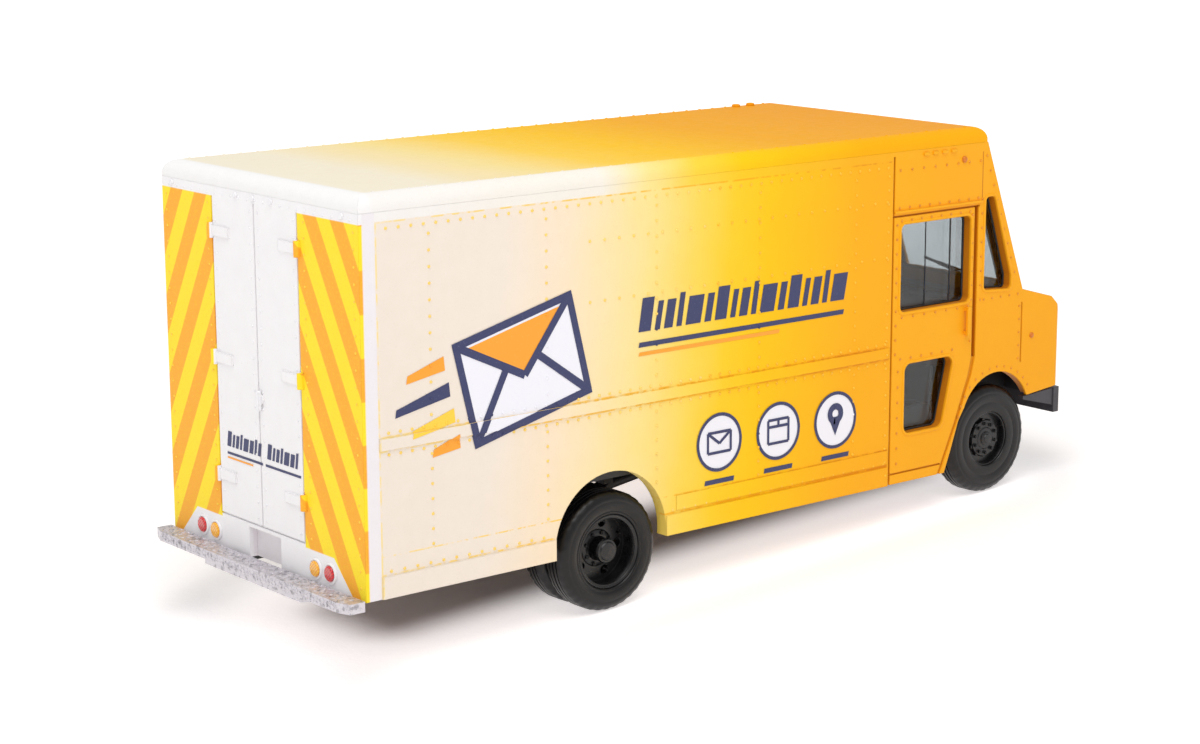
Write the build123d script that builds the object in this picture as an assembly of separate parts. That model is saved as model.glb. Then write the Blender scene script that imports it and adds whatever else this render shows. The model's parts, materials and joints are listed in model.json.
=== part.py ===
from build123d import *
import math
import os

# Walk-in delivery van, 1:87 scale model. Millimetres.
# The body is drawn level in its own frame: x = 0 at the rear wall and forward along +X,
# y = 0 on the centreline with +Y to the driver's left, z = 0 at the height of the rear tyres' contact.
# The finished body is then pitched nose down onto its axles, and the whole van is centred on its box.

# ---- driving dimensions -------------------------------------------------------------------------
BODY_WIDTH = 28.0
WALL = 1.1
BODY_BOTTOM = 5.4
CAP_SEAT_Z = 34.6
ROOF_TOP_Z = 35.95
REAR_AXLE_X = 23.79
FRONT_AXLE_X = 67.95
REAR_AXLE_Z = 4.93
FRONT_AXLE_Z = 7.51
WHEEL_RADIUS = 4.93
TYRE_WIDTH = 2.55
DUAL_GAP = 0.35
REAR_TRACK_OUTER_Y = 13.6
FRONT_TRACK_OUTER_Y = 13.65
RIM_RADIUS = 3.05
ROD_RADIUS = 0.6
RUNNING_CLEARANCE = 0.05
CARGO_FRONT_X = FRONT_AXLE_X - 13.15
DOOR_FRONT_X = FRONT_AXLE_X - 2.95
SCREEN_TOP_X = FRONT_AXLE_X - 1.45
SCREEN_BASE_X = FRONT_AXLE_X + 3.6
SCREEN_BASE_Z = 20.9
HOOD_FRONT_X = FRONT_AXLE_X + 8.85
HOOD_LIP_Z = 11.4
REAR_ARCH = (REAR_AXLE_X - 0.19, 6.0, 5.7)
FRONT_ARCH = (FRONT_AXLE_X + 0.45, 9.2, 4.5)
FRONT_WELL = (FRONT_AXLE_X, 7.9, 5.87)
ARCH_LIP = 0.3
FLOOR_BOTTOM = 10.8
FLOOR_THICKNESS = 0.8
RAIL_INNER_Y = 3.6
RAIL_WIDTH = 1.0
RAIL_DEPTH = 1.8
SIDE_GLASS_THICKNESS = 0.22
SCREEN_GLASS_INSET = 0.3
GLASS_FLANGE = 0.5
SCREEN_SHEET = 0.5

HALF = BODY_WIDTH / 2
INNER = HALF - WALL
SCREEN_WALL = WALL + 0.08
FLOOR_TOP = FLOOR_BOTTOM + FLOOR_THICKNESS
RAIL_BOTTOM = FLOOR_BOTTOM - RAIL_DEPTH
RAKE = math.degrees(math.atan2(FRONT_AXLE_Z - REAR_AXLE_Z, FRONT_AXLE_X - REAR_AXLE_X))
WHEELBASE = math.hypot(FRONT_AXLE_Z - REAR_AXLE_Z, FRONT_AXLE_X - REAR_AXLE_X)
HOUSING_RADIUS = ROD_RADIUS + RUNNING_CLEARANCE + 0.35
DUAL_OUTER = (REAR_TRACK_OUTER_Y - TYRE_WIDTH, REAR_TRACK_OUTER_Y)
DUAL_INNER = (DUAL_OUTER[0] - DUAL_GAP - TYRE_WIDTH, DUAL_OUTER[0] - DUAL_GAP)
FRONT_TYRE = (FRONT_TRACK_OUTER_Y - TYRE_WIDTH, FRONT_TRACK_OUTER_Y)


# ---- drawing helpers ----------------------------------------------------------------------------
def block(x0, x1, y0, y1, z0, z1):
    return Pos((x0 + x1) / 2, (y0 + y1) / 2, (z0 + z1) / 2) * Box(x1 - x0, y1 - y0, z1 - z0)


def side_plane(y):
    """A plane across the van whose local x and y are the body's x and z."""
    return Plane(origin=(0, y, 0), x_dir=(1, 0, 0), z_dir=(0, -1, 0))


def side_face(points, radius=0.0):
    face = make_face(Polyline(*points, close=True))
    return fillet(face.vertices(), radius) if radius else face


def side_prism(points, y0, y1, radius=0.0):
    """Outline in x and z, extruded between two y values, with rounded corners."""
    return extrude(side_plane(y1) * side_face(points, radius), y1 - y0)


def rod_y(x, z, radius, y0, y1):
    return Pos(x, (y0 + y1) / 2, z) * Rot(90, 0, 0) * Cylinder(radius, y1 - y0)


def rod_x(y, z, radius, x0, x1):
    return Pos((x0 + x1) / 2, y, z) * Rot(0, 90, 0) * Cylinder(radius, x1 - x0)


def rod_z(x, y, radius, z0, z1):
    return Pos(x, y, (z0 + z1) / 2) * Cylinder(radius, z1 - z0)


def rod_between(start, end, radius):
    path = Line(start, end)
    section = Plane(origin=start, z_dir=(path % 0)) * Circle(radius)
    return extrude(section, path.length)


def both_sides(solid):
    return [solid, mirror(solid, about=Plane.XZ)]


def group(solids):
    return Compound(children=list(solids))


def screen_x(z):
    """The windscreen's outer face at a height."""
    slope = (SCREEN_BASE_X - SCREEN_TOP_X) / (CAP_SEAT_Z - SCREEN_BASE_Z)
    return SCREEN_BASE_X - (z - SCREEN_BASE_Z) * slope


# ---- openings shared by the shell and what fills them --------------------------------------------
DOOR_WINDOW_X = (CARGO_FRONT_X + 1.1, DOOR_FRONT_X - 0.45)
DOOR_WINDOW_Z = (20.6, 28.26)
DOOR_WINDOW = [
    (DOOR_WINDOW_X[0], DOOR_WINDOW_Z[0]), (DOOR_WINDOW_X[1], DOOR_WINDOW_Z[0]),
    (DOOR_WINDOW_X[1], DOOR_WINDOW_Z[1]), (DOOR_WINDOW_X[0], DOOR_WINDOW_Z[1]),
]
QUARTER_WINDOW = [
    (DOOR_FRONT_X + 1.4, 21.4), (DOOR_FRONT_X + 4.9, 21.15), (DOOR_FRONT_X + 4.9, 22.4),
    (DOOR_FRONT_X + 2.55, 29.7), (DOOR_FRONT_X + 1.45, 29.7),
]
KERB_WINDOW = [
    (CARGO_FRONT_X + 1.8, 9.75), (FRONT_AXLE_X - 6.65, 9.75),
    (FRONT_AXLE_X - 5.2, 15.95), (CARGO_FRONT_X + 1.8, 15.95),
]
DOOR_WINDOW_RADIUS = 0.5
QUARTER_WINDOW_RADIUS = 0.38
KERB_WINDOW_RADIUS = 0.7
SCREEN_SILL_Z = 21.9
SCREEN_HEAD_Z = 33.5
SCREEN_POST = 1.0
SCREEN_SIDE = 1.3
TAIL_LAMPS = [("red", 9.3, 6.65), ("amber", 7.3, 6.6)]
TAIL_LAMP_RADIUS = 0.62
MARKER_Z = 34.22
MARKER_RADIUS = 0.22
REAR_MARKERS_Y = [-11.9, -2.3, 0.3, 2.8, 12.4]
FRONT_MARKERS_Y = [-11.5, -2.2, 0.0, 2.2, 11.5]
FRONT_MARKER_Z = 34.05
REAR_DOOR_Y = (-5.8, 6.4)
REAR_SEAM_Y = 0.25
HEADLAMP_Y = 10.6
HEADLAMP_Z = 15.2
HEADLAMP_RADIUS = 1.35
TURN_LAMP_Z = 12.7
GRILLE_HALF = 7.4
POST_X = [10.0, CARGO_FRONT_X - 10.8]
POST_RADIUS = 1.4
SCREW_RADIUS = 0.5


# ---- body shell ---------------------------------------------------------------------------------
def body_outline():
    return [
        (0, BODY_BOTTOM), (0, CAP_SEAT_Z), (SCREEN_TOP_X, CAP_SEAT_Z),
        (SCREEN_BASE_X, SCREEN_BASE_Z), (HOOD_FRONT_X - 1.3, 19.8), (HOOD_FRONT_X - 0.4, 18.95),
        (HOOD_FRONT_X, 17.9), (HOOD_FRONT_X, HOOD_LIP_Z), (FRONT_ARCH[0] + 4.1, 11.0),
        (FRONT_ARCH[0], FRONT_ARCH[1]), (FRONT_ARCH[0] - 4.2, 10.9), (FRONT_ARCH[0] - 4.85, 9.9),
        (FRONT_ARCH[0] - 5.8, 7.3), (FRONT_ARCH[0] - 6.55, BODY_BOTTOM),
    ]


def plan_prism(inset):
    """Plan outline with slightly rounded nose corners."""
    nose = HOOD_FRONT_X - inset
    half = HALF - inset
    face = make_face(Polyline((inset, -half), (nose, -half), (nose, half), (inset, half), close=True))
    corners = face.vertices().sort_by(Axis.X)
    face = fillet(corners[-2:], 0.6 - inset * 0.3)
    return extrude(face, CAP_SEAT_Z + 5)


def cavity():
    nose = HOOD_FRONT_X - WALL
    top, sill = CAP_SEAT_Z + 1, SCREEN_BASE_Z - 0.7
    points = [
        (WALL, 0), (WALL, top), (screen_x(top) - SCREEN_WALL, top),
        (screen_x(sill) - SCREEN_WALL, sill), (HOOD_FRONT_X - 1.8, 18.75), (nose, 17.5), (nose, 0),
    ]
    return side_prism(points, -HALF, HALF) & plan_prism(WALL)


def door_channel(side):
    """The sliding door's front channel: upright beside the window, then raked back beside the wheel arch."""
    x = DOOR_FRONT_X
    y0, y1 = sorted((side * (HALF - 0.55), side * (HALF + 1)))
    upright = block(x, x + 0.5, y0, y1, 15.5, 29.0)
    raked = [
        (x, 15.5), (x + 0.5, 15.5), (x + 0.1, 13.9), (x - 1.55, 10.0), (x - 3.3, 6.3), (x - 3.9, 5.0),
        (x - 4.25, 5.0), (x - 3.65, 6.3), (x - 1.95, 10.0), (x - 0.4, 13.9),
    ]
    y0, y1 = sorted((side * (HALF - ARCH_LIP / 2), side * (HALF + 1)))
    return [upright, side_prism(raked, y0, y1)]


def side_details(sign):
    """Raised rails on one side, and the grooves that outline the sliding door."""
    skin = sign * HALF
    rail_end = CARGO_FRONT_X - 0.2
    arch_rear, arch_front = REAR_ARCH[0] - REAR_ARCH[2], REAR_ARCH[0] + REAR_ARCH[2]
    raised = []
    for x0, x1, z0, z1, proud in [
        (1.45, rail_end, 16.75, 17.7, 0.12),
        (1.45, arch_rear, BODY_BOTTOM, 7.1, 0.16),
        (arch_front, rail_end, BODY_BOTTOM, 7.1, 0.16),
        (arch_front + 1.1, rail_end, 7.35, 8.6, 0.08),
    ]:
        y0, y1 = sorted((skin - sign * 0.1, skin + sign * proud))
        raised.append(block(x0, x1, y0, y1, z0, z1))
    sunk = door_channel(sign)
    for x0, x1, z0, z1, depth in [
        (CARGO_FRONT_X, CARGO_FRONT_X + 0.2, BODY_BOTTOM - 1, CAP_SEAT_Z - 0.4, 0.2),
        (CARGO_FRONT_X, DOOR_FRONT_X + 0.6, 28.95, 29.12, 0.2),
        (CARGO_FRONT_X, DOOR_FRONT_X - 3.7, 6.24, 6.4, 0.15),
        (SCREEN_BASE_X - 0.1, SCREEN_BASE_X + 0.05, 14.2, 19.7, 0.15),
    ]:
        y0, y1 = sorted((skin - sign * depth, skin + sign))
        sunk.append(block(x0, x1, y0, y1, z0, z1))
    return raised, sunk


def rear_details():
    """Grooves around the two rear doors, hinges, latch plate, lamp bezels and the plate recess."""
    line, depth = 0.14, 0.15
    sunk = [block(-1, depth, y - line / 2, y + line / 2, 8.3, 33.8) for y in (*REAR_DOOR_Y, REAR_SEAM_Y)]
    sunk.append(block(-1, depth, *REAR_DOOR_Y, 8.2, 8.34))
    sunk.append(block(-1, 0.7, -2.3, 2.3, BODY_BOTTOM - 1, 7.9))
    raised = []
    for z in (31.1, 21.0, 11.5):
        for edge, inward in zip(REAR_DOOR_Y, (1, -1)):
            strap_ends = sorted((edge - inward * 0.45, edge + inward * 2.5))
            raised.append(block(-0.16, 0.05, *strap_ends, z - 0.42, z + 0.42))
            raised.append(rod_z(-0.1, edge - inward * 0.15, 0.3, z - 0.62, z + 0.62))
    raised.append(rod_x(-0.1, 18.6, 0.42, -0.12, 0.05))
    for _, y, z in TAIL_LAMPS:
        raised += [rod_x(sign * y, z, TAIL_LAMP_RADIUS + 0.22, -0.12, 0.05) for sign in (-1, 1)]
    return raised, sunk


def front_details():
    """Recess for the grille, sockets for the lamps and the opening behind the windscreen panes."""
    x0 = HOOD_FRONT_X
    sunk = [block(x0 - 0.5, x0 + 1, -GRILLE_HALF, GRILLE_HALF, 12.2, 17.4)]
    for sign in (-1, 1):
        sunk.append(rod_x(sign * HEADLAMP_Y, HEADLAMP_Z, HEADLAMP_RADIUS, x0 - 0.5, x0 + 1))
        sunk.append(block(x0 - 0.5, x0 + 1, sign * HEADLAMP_Y - 1.2, sign * HEADLAMP_Y + 1.2,
                          TURN_LAMP_Z - 0.45, TURN_LAMP_Z + 0.45))
    return sunk


def screen_slab(outer, inner, y0, y1, z0, z1):
    """A slab that leans with the windscreen, between two depths behind its outer face."""
    points = [
        (screen_x(z0) - outer, z0), (screen_x(z1) - outer, z1),
        (screen_x(z1) - inner, z1), (screen_x(z0) - inner, z0),
    ]
    return side_prism(points, y0, y1)


def screen_panes(outer, inner):
    """The two windscreen openings, each side of the centre post."""
    z0, z1 = SCREEN_SILL_Z, SCREEN_HEAD_Z
    return [screen_slab(outer, inner, -HALF + SCREEN_SIDE, -SCREEN_POST / 2, z0, z1),
            screen_slab(outer, inner, SCREEN_POST / 2, HALF - SCREEN_SIDE, z0, z1)]


def make_body_shell():
    shell = (side_prism(body_outline(), -HALF, HALF) & plan_prism(0)) - cavity()
    for cx, cz, radius in (REAR_ARCH, FRONT_ARCH):
        shell -= rod_y(cx, cz, radius, -HALF - 1, HALF + 1)
    shell -= rod_y(*FRONT_WELL, -HALF + ARCH_LIP, HALF - ARCH_LIP)
    shell -= block(REAR_ARCH[0] - 5.66, REAR_ARCH[0] + 5.66, -HALF - 1, HALF + 1, 0, BODY_BOTTOM + 0.4)
    for sign in (-1, 1):
        raised, sunk = side_details(sign)
        for piece in raised:
            shell += piece
        for piece in sunk:
            shell -= piece
        y0, y1 = sorted((sign * (INNER - 1), sign * (HALF + 1)))
        shell -= side_prism(DOOR_WINDOW, y0, y1, DOOR_WINDOW_RADIUS)
        shell -= side_prism(QUARTER_WINDOW, y0, y1, QUARTER_WINDOW_RADIUS)
    shell -= side_prism(KERB_WINDOW, -HALF - 1, -INNER + 1, KERB_WINDOW_RADIUS)
    raised, sunk = rear_details()
    for piece in sunk:
        shell -= piece
    for piece in raised:
        shell += piece
    for piece in front_details():
        shell -= piece
    for piece in screen_panes(-1, 3):
        shell -= piece
    for y in REAR_MARKERS_Y:
        shell -= rod_x(y, MARKER_Z, MARKER_RADIUS, -1, 0.3)
    for y in FRONT_MARKERS_Y:
        shell -= rod_x(y, FRONT_MARKER_Z, MARKER_RADIUS, screen_x(FRONT_MARKER_Z) - 0.4, HOOD_FRONT_X)
    for _, y, z in TAIL_LAMPS:
        for sign in (-1, 1):
            shell -= rod_x(sign * y, z, TAIL_LAMP_RADIUS, -1, 0.5)
    return shell


def make_roof_cap():
    """Roof skin with rounded edges, a locating rim inside the walls and two screw posts."""
    length = SCREEN_TOP_X - 0.1
    cap = Pos(length / 2, 0, (CAP_SEAT_Z + ROOF_TOP_Z) / 2) * Box(length, BODY_WIDTH, ROOF_TOP_Z - CAP_SEAT_Z)
    cap = fillet(cap.edges().group_by(Axis.Z)[-1], 1.1)
    rim_front = screen_x(CAP_SEAT_Z) - SCREEN_WALL - SCREEN_SHEET - 0.2
    rim = block(WALL, rim_front, -INNER, INNER, CAP_SEAT_Z - 0.8, CAP_SEAT_Z)
    rim -= block(WALL + 0.8, rim_front - 0.8, -INNER + 0.8, INNER - 0.8, CAP_SEAT_Z - 1, CAP_SEAT_Z)
    cap += rim
    for x in POST_X:
        cap += rod_z(x, 0, POST_RADIUS, FLOOR_TOP, CAP_SEAT_Z + 0.2)
    for x in POST_X:
        cap -= rod_z(x, 0, SCREW_RADIUS, FLOOR_TOP - 1, FLOOR_TOP + 4)
    return cap


# ---- glazing ------------------------------------------------------------------------------------
def pane(outline, radius, sign):
    """A clear pane that fills its opening and laps onto the wall's inner face with a flange."""
    y0, y1 = sorted((sign * INNER, sign * (INNER + SIDE_GLASS_THICKNESS)))
    plug = side_prism(outline, y0, y1, radius)
    flange_face = offset(side_face(outline, radius), 0.45)
    y0, y1 = sorted((sign * (INNER - GLASS_FLANGE), sign * INNER))
    return plug + extrude(side_plane(y1) * flange_face, y1 - y0)


def make_quarter_window(sign):
    """A quarter pane whose flange stops short of the windscreen's inner sheet."""
    keep_clear = screen_slab(-1, SCREEN_WALL + SCREEN_SHEET + 0.05, -INNER, INNER, 18, 34)
    return pane(QUARTER_WINDOW, QUARTER_WINDOW_RADIUS, sign) - keep_clear


def make_kerb_window():
    """The low pane by the step, with its flange cut back beside the wheel box."""
    wheel_box_x = FRONT_WELL[0] - FRONT_WELL[2] - WELL_GAP - WELL_SKIN
    pane_solid = pane(KERB_WINDOW, KERB_WINDOW_RADIUS, -1)
    return pane_solid - block(wheel_box_x - 0.05, wheel_box_x + 3, -INNER, 0, 8, WELL_TOP + WELL_SKIN + 0.05)


def make_windscreen():
    """Both panes and the sheet that joins them behind the centre post, as one clear moulding."""
    panes = screen_panes(SCREEN_GLASS_INSET, SCREEN_WALL)
    y_half = INNER - 0.05
    inner = SCREEN_WALL + SCREEN_SHEET
    sheet = screen_slab(SCREEN_WALL, inner, -y_half, y_half, SCREEN_SILL_Z - 0.35, SCREEN_HEAD_Z + 0.2)
    return sheet + panes[0] + panes[1]


# ---- chassis ------------------------------------------------------------------------------------
WELL_INNER_Y = FRONT_TYRE[0] - 1.3
WELL_TOP = 14.4
WELL_SKIN = 0.6
WELL_GAP = 0.3
STEP_X = (CARGO_FRONT_X + 0.8, FRONT_WELL[0] - FRONT_WELL[2] - WELL_GAP - 2 * WELL_SKIN)
STEP_Y = (-INNER + 0.6, -9.6)
STEP_Z = 6.6
SCREW_HOLE_CLEARANCE = 0.1


def make_floor_pan():
    """Floor plate between the walls, with front wheel boxes, the kerb step and two screw holes."""
    pan = block(WALL, HOOD_FRONT_X - WALL, -INNER, INNER, FLOOR_BOTTOM, FLOOR_TOP) & plan_prism(WALL)
    x0, x1 = FRONT_WELL[0] - FRONT_WELL[2] - WELL_GAP, FRONT_WELL[0] + FRONT_WELL[2] + WELL_GAP
    for sign in (-1, 1):
        y0, y1 = sorted((sign * (WELL_INNER_Y - WELL_SKIN), sign * INNER))
        outer = block(x0 - WELL_SKIN, x1 + WELL_SKIN, y0, y1, FLOOR_BOTTOM, WELL_TOP + WELL_SKIN)
        pan += outer & plan_prism(WALL)
        y0, y1 = sorted((sign * WELL_INNER_Y, sign * (INNER + 1)))
        pan -= block(x0, x1, y0, y1, FLOOR_BOTTOM - 1, WELL_TOP)
    pan -= block(STEP_X[0] - 0.6, STEP_X[1] + 0.6, -INNER, STEP_Y[0], FLOOR_BOTTOM - 1, FLOOR_TOP + 1)
    pan += block(STEP_X[0] - 0.6, STEP_X[1] + 0.6, STEP_Y[0], STEP_Y[1] + 0.6, STEP_Z - 0.6, FLOOR_TOP)
    pan -= block(*STEP_X, STEP_Y[0] + 0.5, STEP_Y[1], STEP_Z, FLOOR_TOP + 1)
    for x in POST_X:
        pan -= rod_z(x, 0, SCREW_RADIUS + SCREW_HOLE_CLEARANCE, FLOOR_BOTTOM - 1, FLOOR_TOP + 1)
    return pan


SPRING_Y = DUAL_INNER[0] - 1.55
SPRING_HALF_WIDTH = 0.55
SPRING_SPAN = 5.6
SPRING_THICKNESS = 0.6
SPRING_END_Z = {REAR_AXLE_X: 8.4, FRONT_AXLE_X: 9.9}
CROSSMEMBERS_X = [
    3.2, REAR_AXLE_X - 7.8, REAR_AXLE_X + 9.2, CARGO_FRONT_X - 2.8, FRONT_AXLE_X - 6.6, FRONT_AXLE_X + 6.6,
]
CROSSMEMBER_HALF = 0.6
CROSSMEMBER_BOTTOM = RAIL_BOTTOM + 0.3
RAIL_FRONT_X = HOOD_FRONT_X - 0.8
RAIL_REAR_X = WALL


def spring(axle_x, axle_z):
    """A leaf pack: a shallow arc that rests on its axle and rises to a hanger at each end."""
    low, end = axle_z + HOUSING_RADIUS, SPRING_END_Z[axle_x]
    lower = ThreePointArc((axle_x - SPRING_SPAN, end), (axle_x, low), (axle_x + SPRING_SPAN, end))
    upper = ThreePointArc((axle_x + SPRING_SPAN, end + SPRING_THICKNESS),
                          (axle_x, low + SPRING_THICKNESS),
                          (axle_x - SPRING_SPAN, end + SPRING_THICKNESS))
    face = make_face([lower, Line(lower @ 1, upper @ 0), upper, Line(upper @ 1, lower @ 0)])
    y1 = SPRING_Y + SPRING_HALF_WIDTH
    return extrude(side_plane(y1) * face, 2 * SPRING_HALF_WIDTH)


def make_leaf_springs(axle_x, axle_z):
    return group(both_sides(spring(axle_x, axle_z)))


def make_ladder_frame():
    frame = None
    for sign in (-1, 1):
        y0, y1 = sorted((sign * RAIL_INNER_Y, sign * (RAIL_INNER_Y + RAIL_WIDTH)))
        rail = block(RAIL_REAR_X, RAIL_FRONT_X, y0, y1, RAIL_BOTTOM, FLOOR_BOTTOM)
        frame = rail if frame is None else frame + rail
    for x in CROSSMEMBERS_X:
        frame += block(x - CROSSMEMBER_HALF, x + CROSSMEMBER_HALF, -RAIL_INNER_Y, RAIL_INNER_Y,
                       CROSSMEMBER_BOTTOM, FLOOR_BOTTOM - 0.3)
    for axle_x, end_z in SPRING_END_Z.items():
        for end in (-1, 1):
            x = axle_x + end * (SPRING_SPAN - 0.5)
            for sign in (-1, 1):
                y0, y1 = sorted((sign * RAIL_INNER_Y, sign * (SPRING_Y + SPRING_HALF_WIDTH)))
                hanger = block(x - 0.5, x + 0.5, y0, y1, end_z + 0.1, FLOOR_BOTTOM)
                frame += hanger
    for axle_x, axle_z in ((REAR_AXLE_X, REAR_AXLE_Z), (FRONT_AXLE_X, FRONT_AXLE_Z)):
        for solid in both_sides(spring(axle_x, axle_z)):
            frame -= solid
    return frame


HOUSING_HALF = DUAL_INNER[0] - 0.45
BEAM_HALF = FRONT_TYRE[0] - 0.6
DIFFERENTIAL_RADIUS = 2.0
BORE_RADIUS = ROD_RADIUS + RUNNING_CLEARANCE
GEARBOX_X = (FRONT_AXLE_X - 18.4, FRONT_AXLE_X - 11.1)
SUMP_FRONT_X = FRONT_AXLE_X - 2.6


def make_rear_axle_housing():
    housing = rod_y(REAR_AXLE_X, REAR_AXLE_Z, HOUSING_RADIUS, -HOUSING_HALF, HOUSING_HALF)
    housing += Pos(REAR_AXLE_X, 0, REAR_AXLE_Z) * Sphere(DIFFERENTIAL_RADIUS)
    housing += rod_x(0, REAR_AXLE_Z, 0.9, REAR_AXLE_X, REAR_AXLE_X + DIFFERENTIAL_RADIUS + 0.5)
    return housing - rod_y(REAR_AXLE_X, REAR_AXLE_Z, BORE_RADIUS, -HOUSING_HALF - 1, HOUSING_HALF + 1)


def make_front_axle_beam():
    """Round beam with a flat-sided drop in the middle, bored for the axle rod."""
    beam = rod_y(FRONT_AXLE_X, FRONT_AXLE_Z, HOUSING_RADIUS, -BEAM_HALF, BEAM_HALF)
    beam += block(FRONT_AXLE_X - 1.1, FRONT_AXLE_X + 1.1, -5.2, 5.2, FRONT_AXLE_Z - 1.2, FRONT_AXLE_Z + 0.6)
    return beam - rod_y(FRONT_AXLE_X, FRONT_AXLE_Z, BORE_RADIUS, -BEAM_HALF - 1, BEAM_HALF + 1)


def make_drive_shaft():
    start = (REAR_AXLE_X + DIFFERENTIAL_RADIUS + 0.5, 0, REAR_AXLE_Z)
    end = (GEARBOX_X[0], 0, 8.2)
    shaft = rod_between(start, end, 0.5)
    for point in (start, end):
        shaft += Pos(*point) * Sphere(0.75)
    shaft -= block(0, start[0], -2, 2, 0, 10)
    return shaft - block(*GEARBOX_X, -2, 2, 0, 12)


def make_gearbox():
    box = block(*GEARBOX_X, -1.6, 1.6, 7.0, CROSSMEMBER_BOTTOM)
    box = fillet(box.edges().filter_by(Axis.X), 0.4)
    return box + rod_x(0, 8.2, 1.05, GEARBOX_X[0], GEARBOX_X[0] + 1.3)


def make_engine_sump():
    sump = block(GEARBOX_X[1], SUMP_FRONT_X, -2.5, 2.5, 7.4, CROSSMEMBER_BOTTOM)
    sump = fillet(sump.edges().filter_by(Axis.X).group_by(Axis.Z)[0], 0.6)
    return sump + block(SUMP_FRONT_X - 6, SUMP_FRONT_X - 1, -1.9, 1.9, 6.7, 7.4)


TANK_X = (REAR_AXLE_X + 11.2, REAR_AXLE_X + 22.7)


def make_fuel_tank():
    tank = block(*TANK_X, -12.2, -5.4, 6.4, FLOOR_BOTTOM)
    tank = fillet(tank.edges().filter_by(Axis.X), 0.7)
    for x in (TANK_X[0] + 2.5, TANK_X[1] - 2.5):
        tank += block(x - 0.4, x + 0.4, -12.3, -5.3, 6.3, FLOOR_BOTTOM)
    return tank


MUFFLER_Y = 8.4
MUFFLER_Z = 8.9
PIPE_RADIUS = 0.35
TAIL_PIPE_Y = DUAL_INNER[0] - 0.5
SILENCER_X = (REAR_AXLE_X + 12.2, REAR_AXLE_X + 22.2)


def make_exhaust():
    """Silencer hung under the floor, with a pipe forward and a tail pipe over the rear axle."""
    points = [
        (FRONT_AXLE_X - 12.1, 6.0, 9.6), (FRONT_AXLE_X - 17.6, MUFFLER_Y, MUFFLER_Z),
        (REAR_AXLE_X + 10.2, MUFFLER_Y, MUFFLER_Z), (REAR_AXLE_X + 6.0, TAIL_PIPE_Y, 9.9),
        (REAR_AXLE_X - 5.8, TAIL_PIPE_Y, 9.9), (REAR_AXLE_X - 9.8, TAIL_PIPE_Y, 7.6), (2.2, TAIL_PIPE_Y, 7.2),
    ]
    exhaust = rod_x(MUFFLER_Y, MUFFLER_Z, 1.25, *SILENCER_X)
    for start, end in zip(points, points[1:]):
        exhaust += rod_between(start, end, PIPE_RADIUS)
    for point in points[1:-1]:
        exhaust += Pos(*point) * Sphere(PIPE_RADIUS)
    for x in (SILENCER_X[0] + 1.5, SILENCER_X[1] - 1.5):
        exhaust += block(x - 0.3, x + 0.3, MUFFLER_Y - 0.5, MUFFLER_Y + 0.5, MUFFLER_Z, FLOOR_BOTTOM)
    return exhaust


def make_chassis_screws():
    screws = []
    for x in POST_X:
        screw = rod_z(x, 0, SCREW_RADIUS, FLOOR_BOTTOM - 0.1, FLOOR_TOP + 3.6)
        screw += rod_z(x, 0, 1.05, FLOOR_BOTTOM - 0.7, FLOOR_BOTTOM)
        screw -= block(x - 0.8, x + 0.8, -0.13, 0.13, FLOOR_BOTTOM - 1, FLOOR_BOTTOM - 0.45)
        screws.append(screw)
    return group(screws)


# ---- bumpers ------------------------------------------------------------------------------------
REAR_BUMPER_X = (-2.0, -0.25)


def make_rear_bumper():
    """Tread-plate step with tapered ends and a deeper middle."""
    rear, front = REAR_BUMPER_X
    tip, half = rear + 0.44, HALF + 0.2
    points = [
        (front, -half), (front, half), (tip, half), (rear, half - 1.2), (rear, -half + 1.2), (tip, -half),
    ]
    step = extrude(Pos(0, 0, 4.81) * make_face(Polyline(*points, close=True)), 0.81)
    middle = [(front, -8.9), (front, 7.0), (rear + 0.05, 6.0), (rear + 0.05, -7.9)]
    return step + extrude(Pos(0, 0, 4.42) * make_face(Polyline(*middle, close=True)), 0.5)


def make_rear_bumper_brackets():
    """One bracket: an arm under the rear wall and an upright to the frame rail."""
    y0, y1 = RAIL_INNER_Y + 0.1, RAIL_INNER_Y + 0.9
    arm = block(REAR_BUMPER_X[1], RAIL_REAR_X + 1.1, y0, y1, BODY_BOTTOM - 0.75, BODY_BOTTOM - 0.05)
    return arm + block(RAIL_REAR_X + 0.3, RAIL_REAR_X + 1.1, y0, y1, BODY_BOTTOM - 0.1, RAIL_BOTTOM)


FRONT_BUMPER_X = (HOOD_FRONT_X - 0.6, HOOD_FRONT_X + 0.3)


def make_front_bumper():
    """Channel bar with a triangular arm running back under each side of the nose."""
    rear, front = FRONT_BUMPER_X
    bar = block(rear, front, -HALF, HALF, 8.85, 11.15)
    bar = fillet(bar.edges().filter_by(Axis.Z).group_by(Axis.X)[-1], 0.3)
    arm_x = FRONT_AXLE_X + 4.2
    for sign in (-1, 1):
        y0, y1 = sorted((sign * (HALF - 0.7), sign * (HALF - 0.1)))
        arm = [(rear + 0.1, 9.5), (rear + 0.1, 11.15), (arm_x, 10.9), (arm_x, 10.6)]
        bar += side_prism(arm, y0, y1)
    return bar


# ---- cab interior -------------------------------------------------------------------------------
SEAT_Y = 7.0
BULKHEAD_X = (CARGO_FRONT_X - 1.8, CARGO_FRONT_X - 1.0)
SEAT_X = CARGO_FRONT_X + 5.0


def make_bulkhead():
    panel = block(*BULKHEAD_X, -INNER, INNER, FLOOR_TOP, CAP_SEAT_Z - 0.8)
    panel -= block(BULKHEAD_X[1] - 0.15, BULKHEAD_X[1] + 1, -3.6, -3.4, FLOOR_TOP, 31.0)
    panel -= block(BULKHEAD_X[1] - 0.15, BULKHEAD_X[1] + 1, 3.4, 3.6, FLOOR_TOP, 31.0)
    return panel - block(BULKHEAD_X[1] - 0.15, BULKHEAD_X[1] + 1, -3.6, 3.6, 30.85, 31.0)


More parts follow.
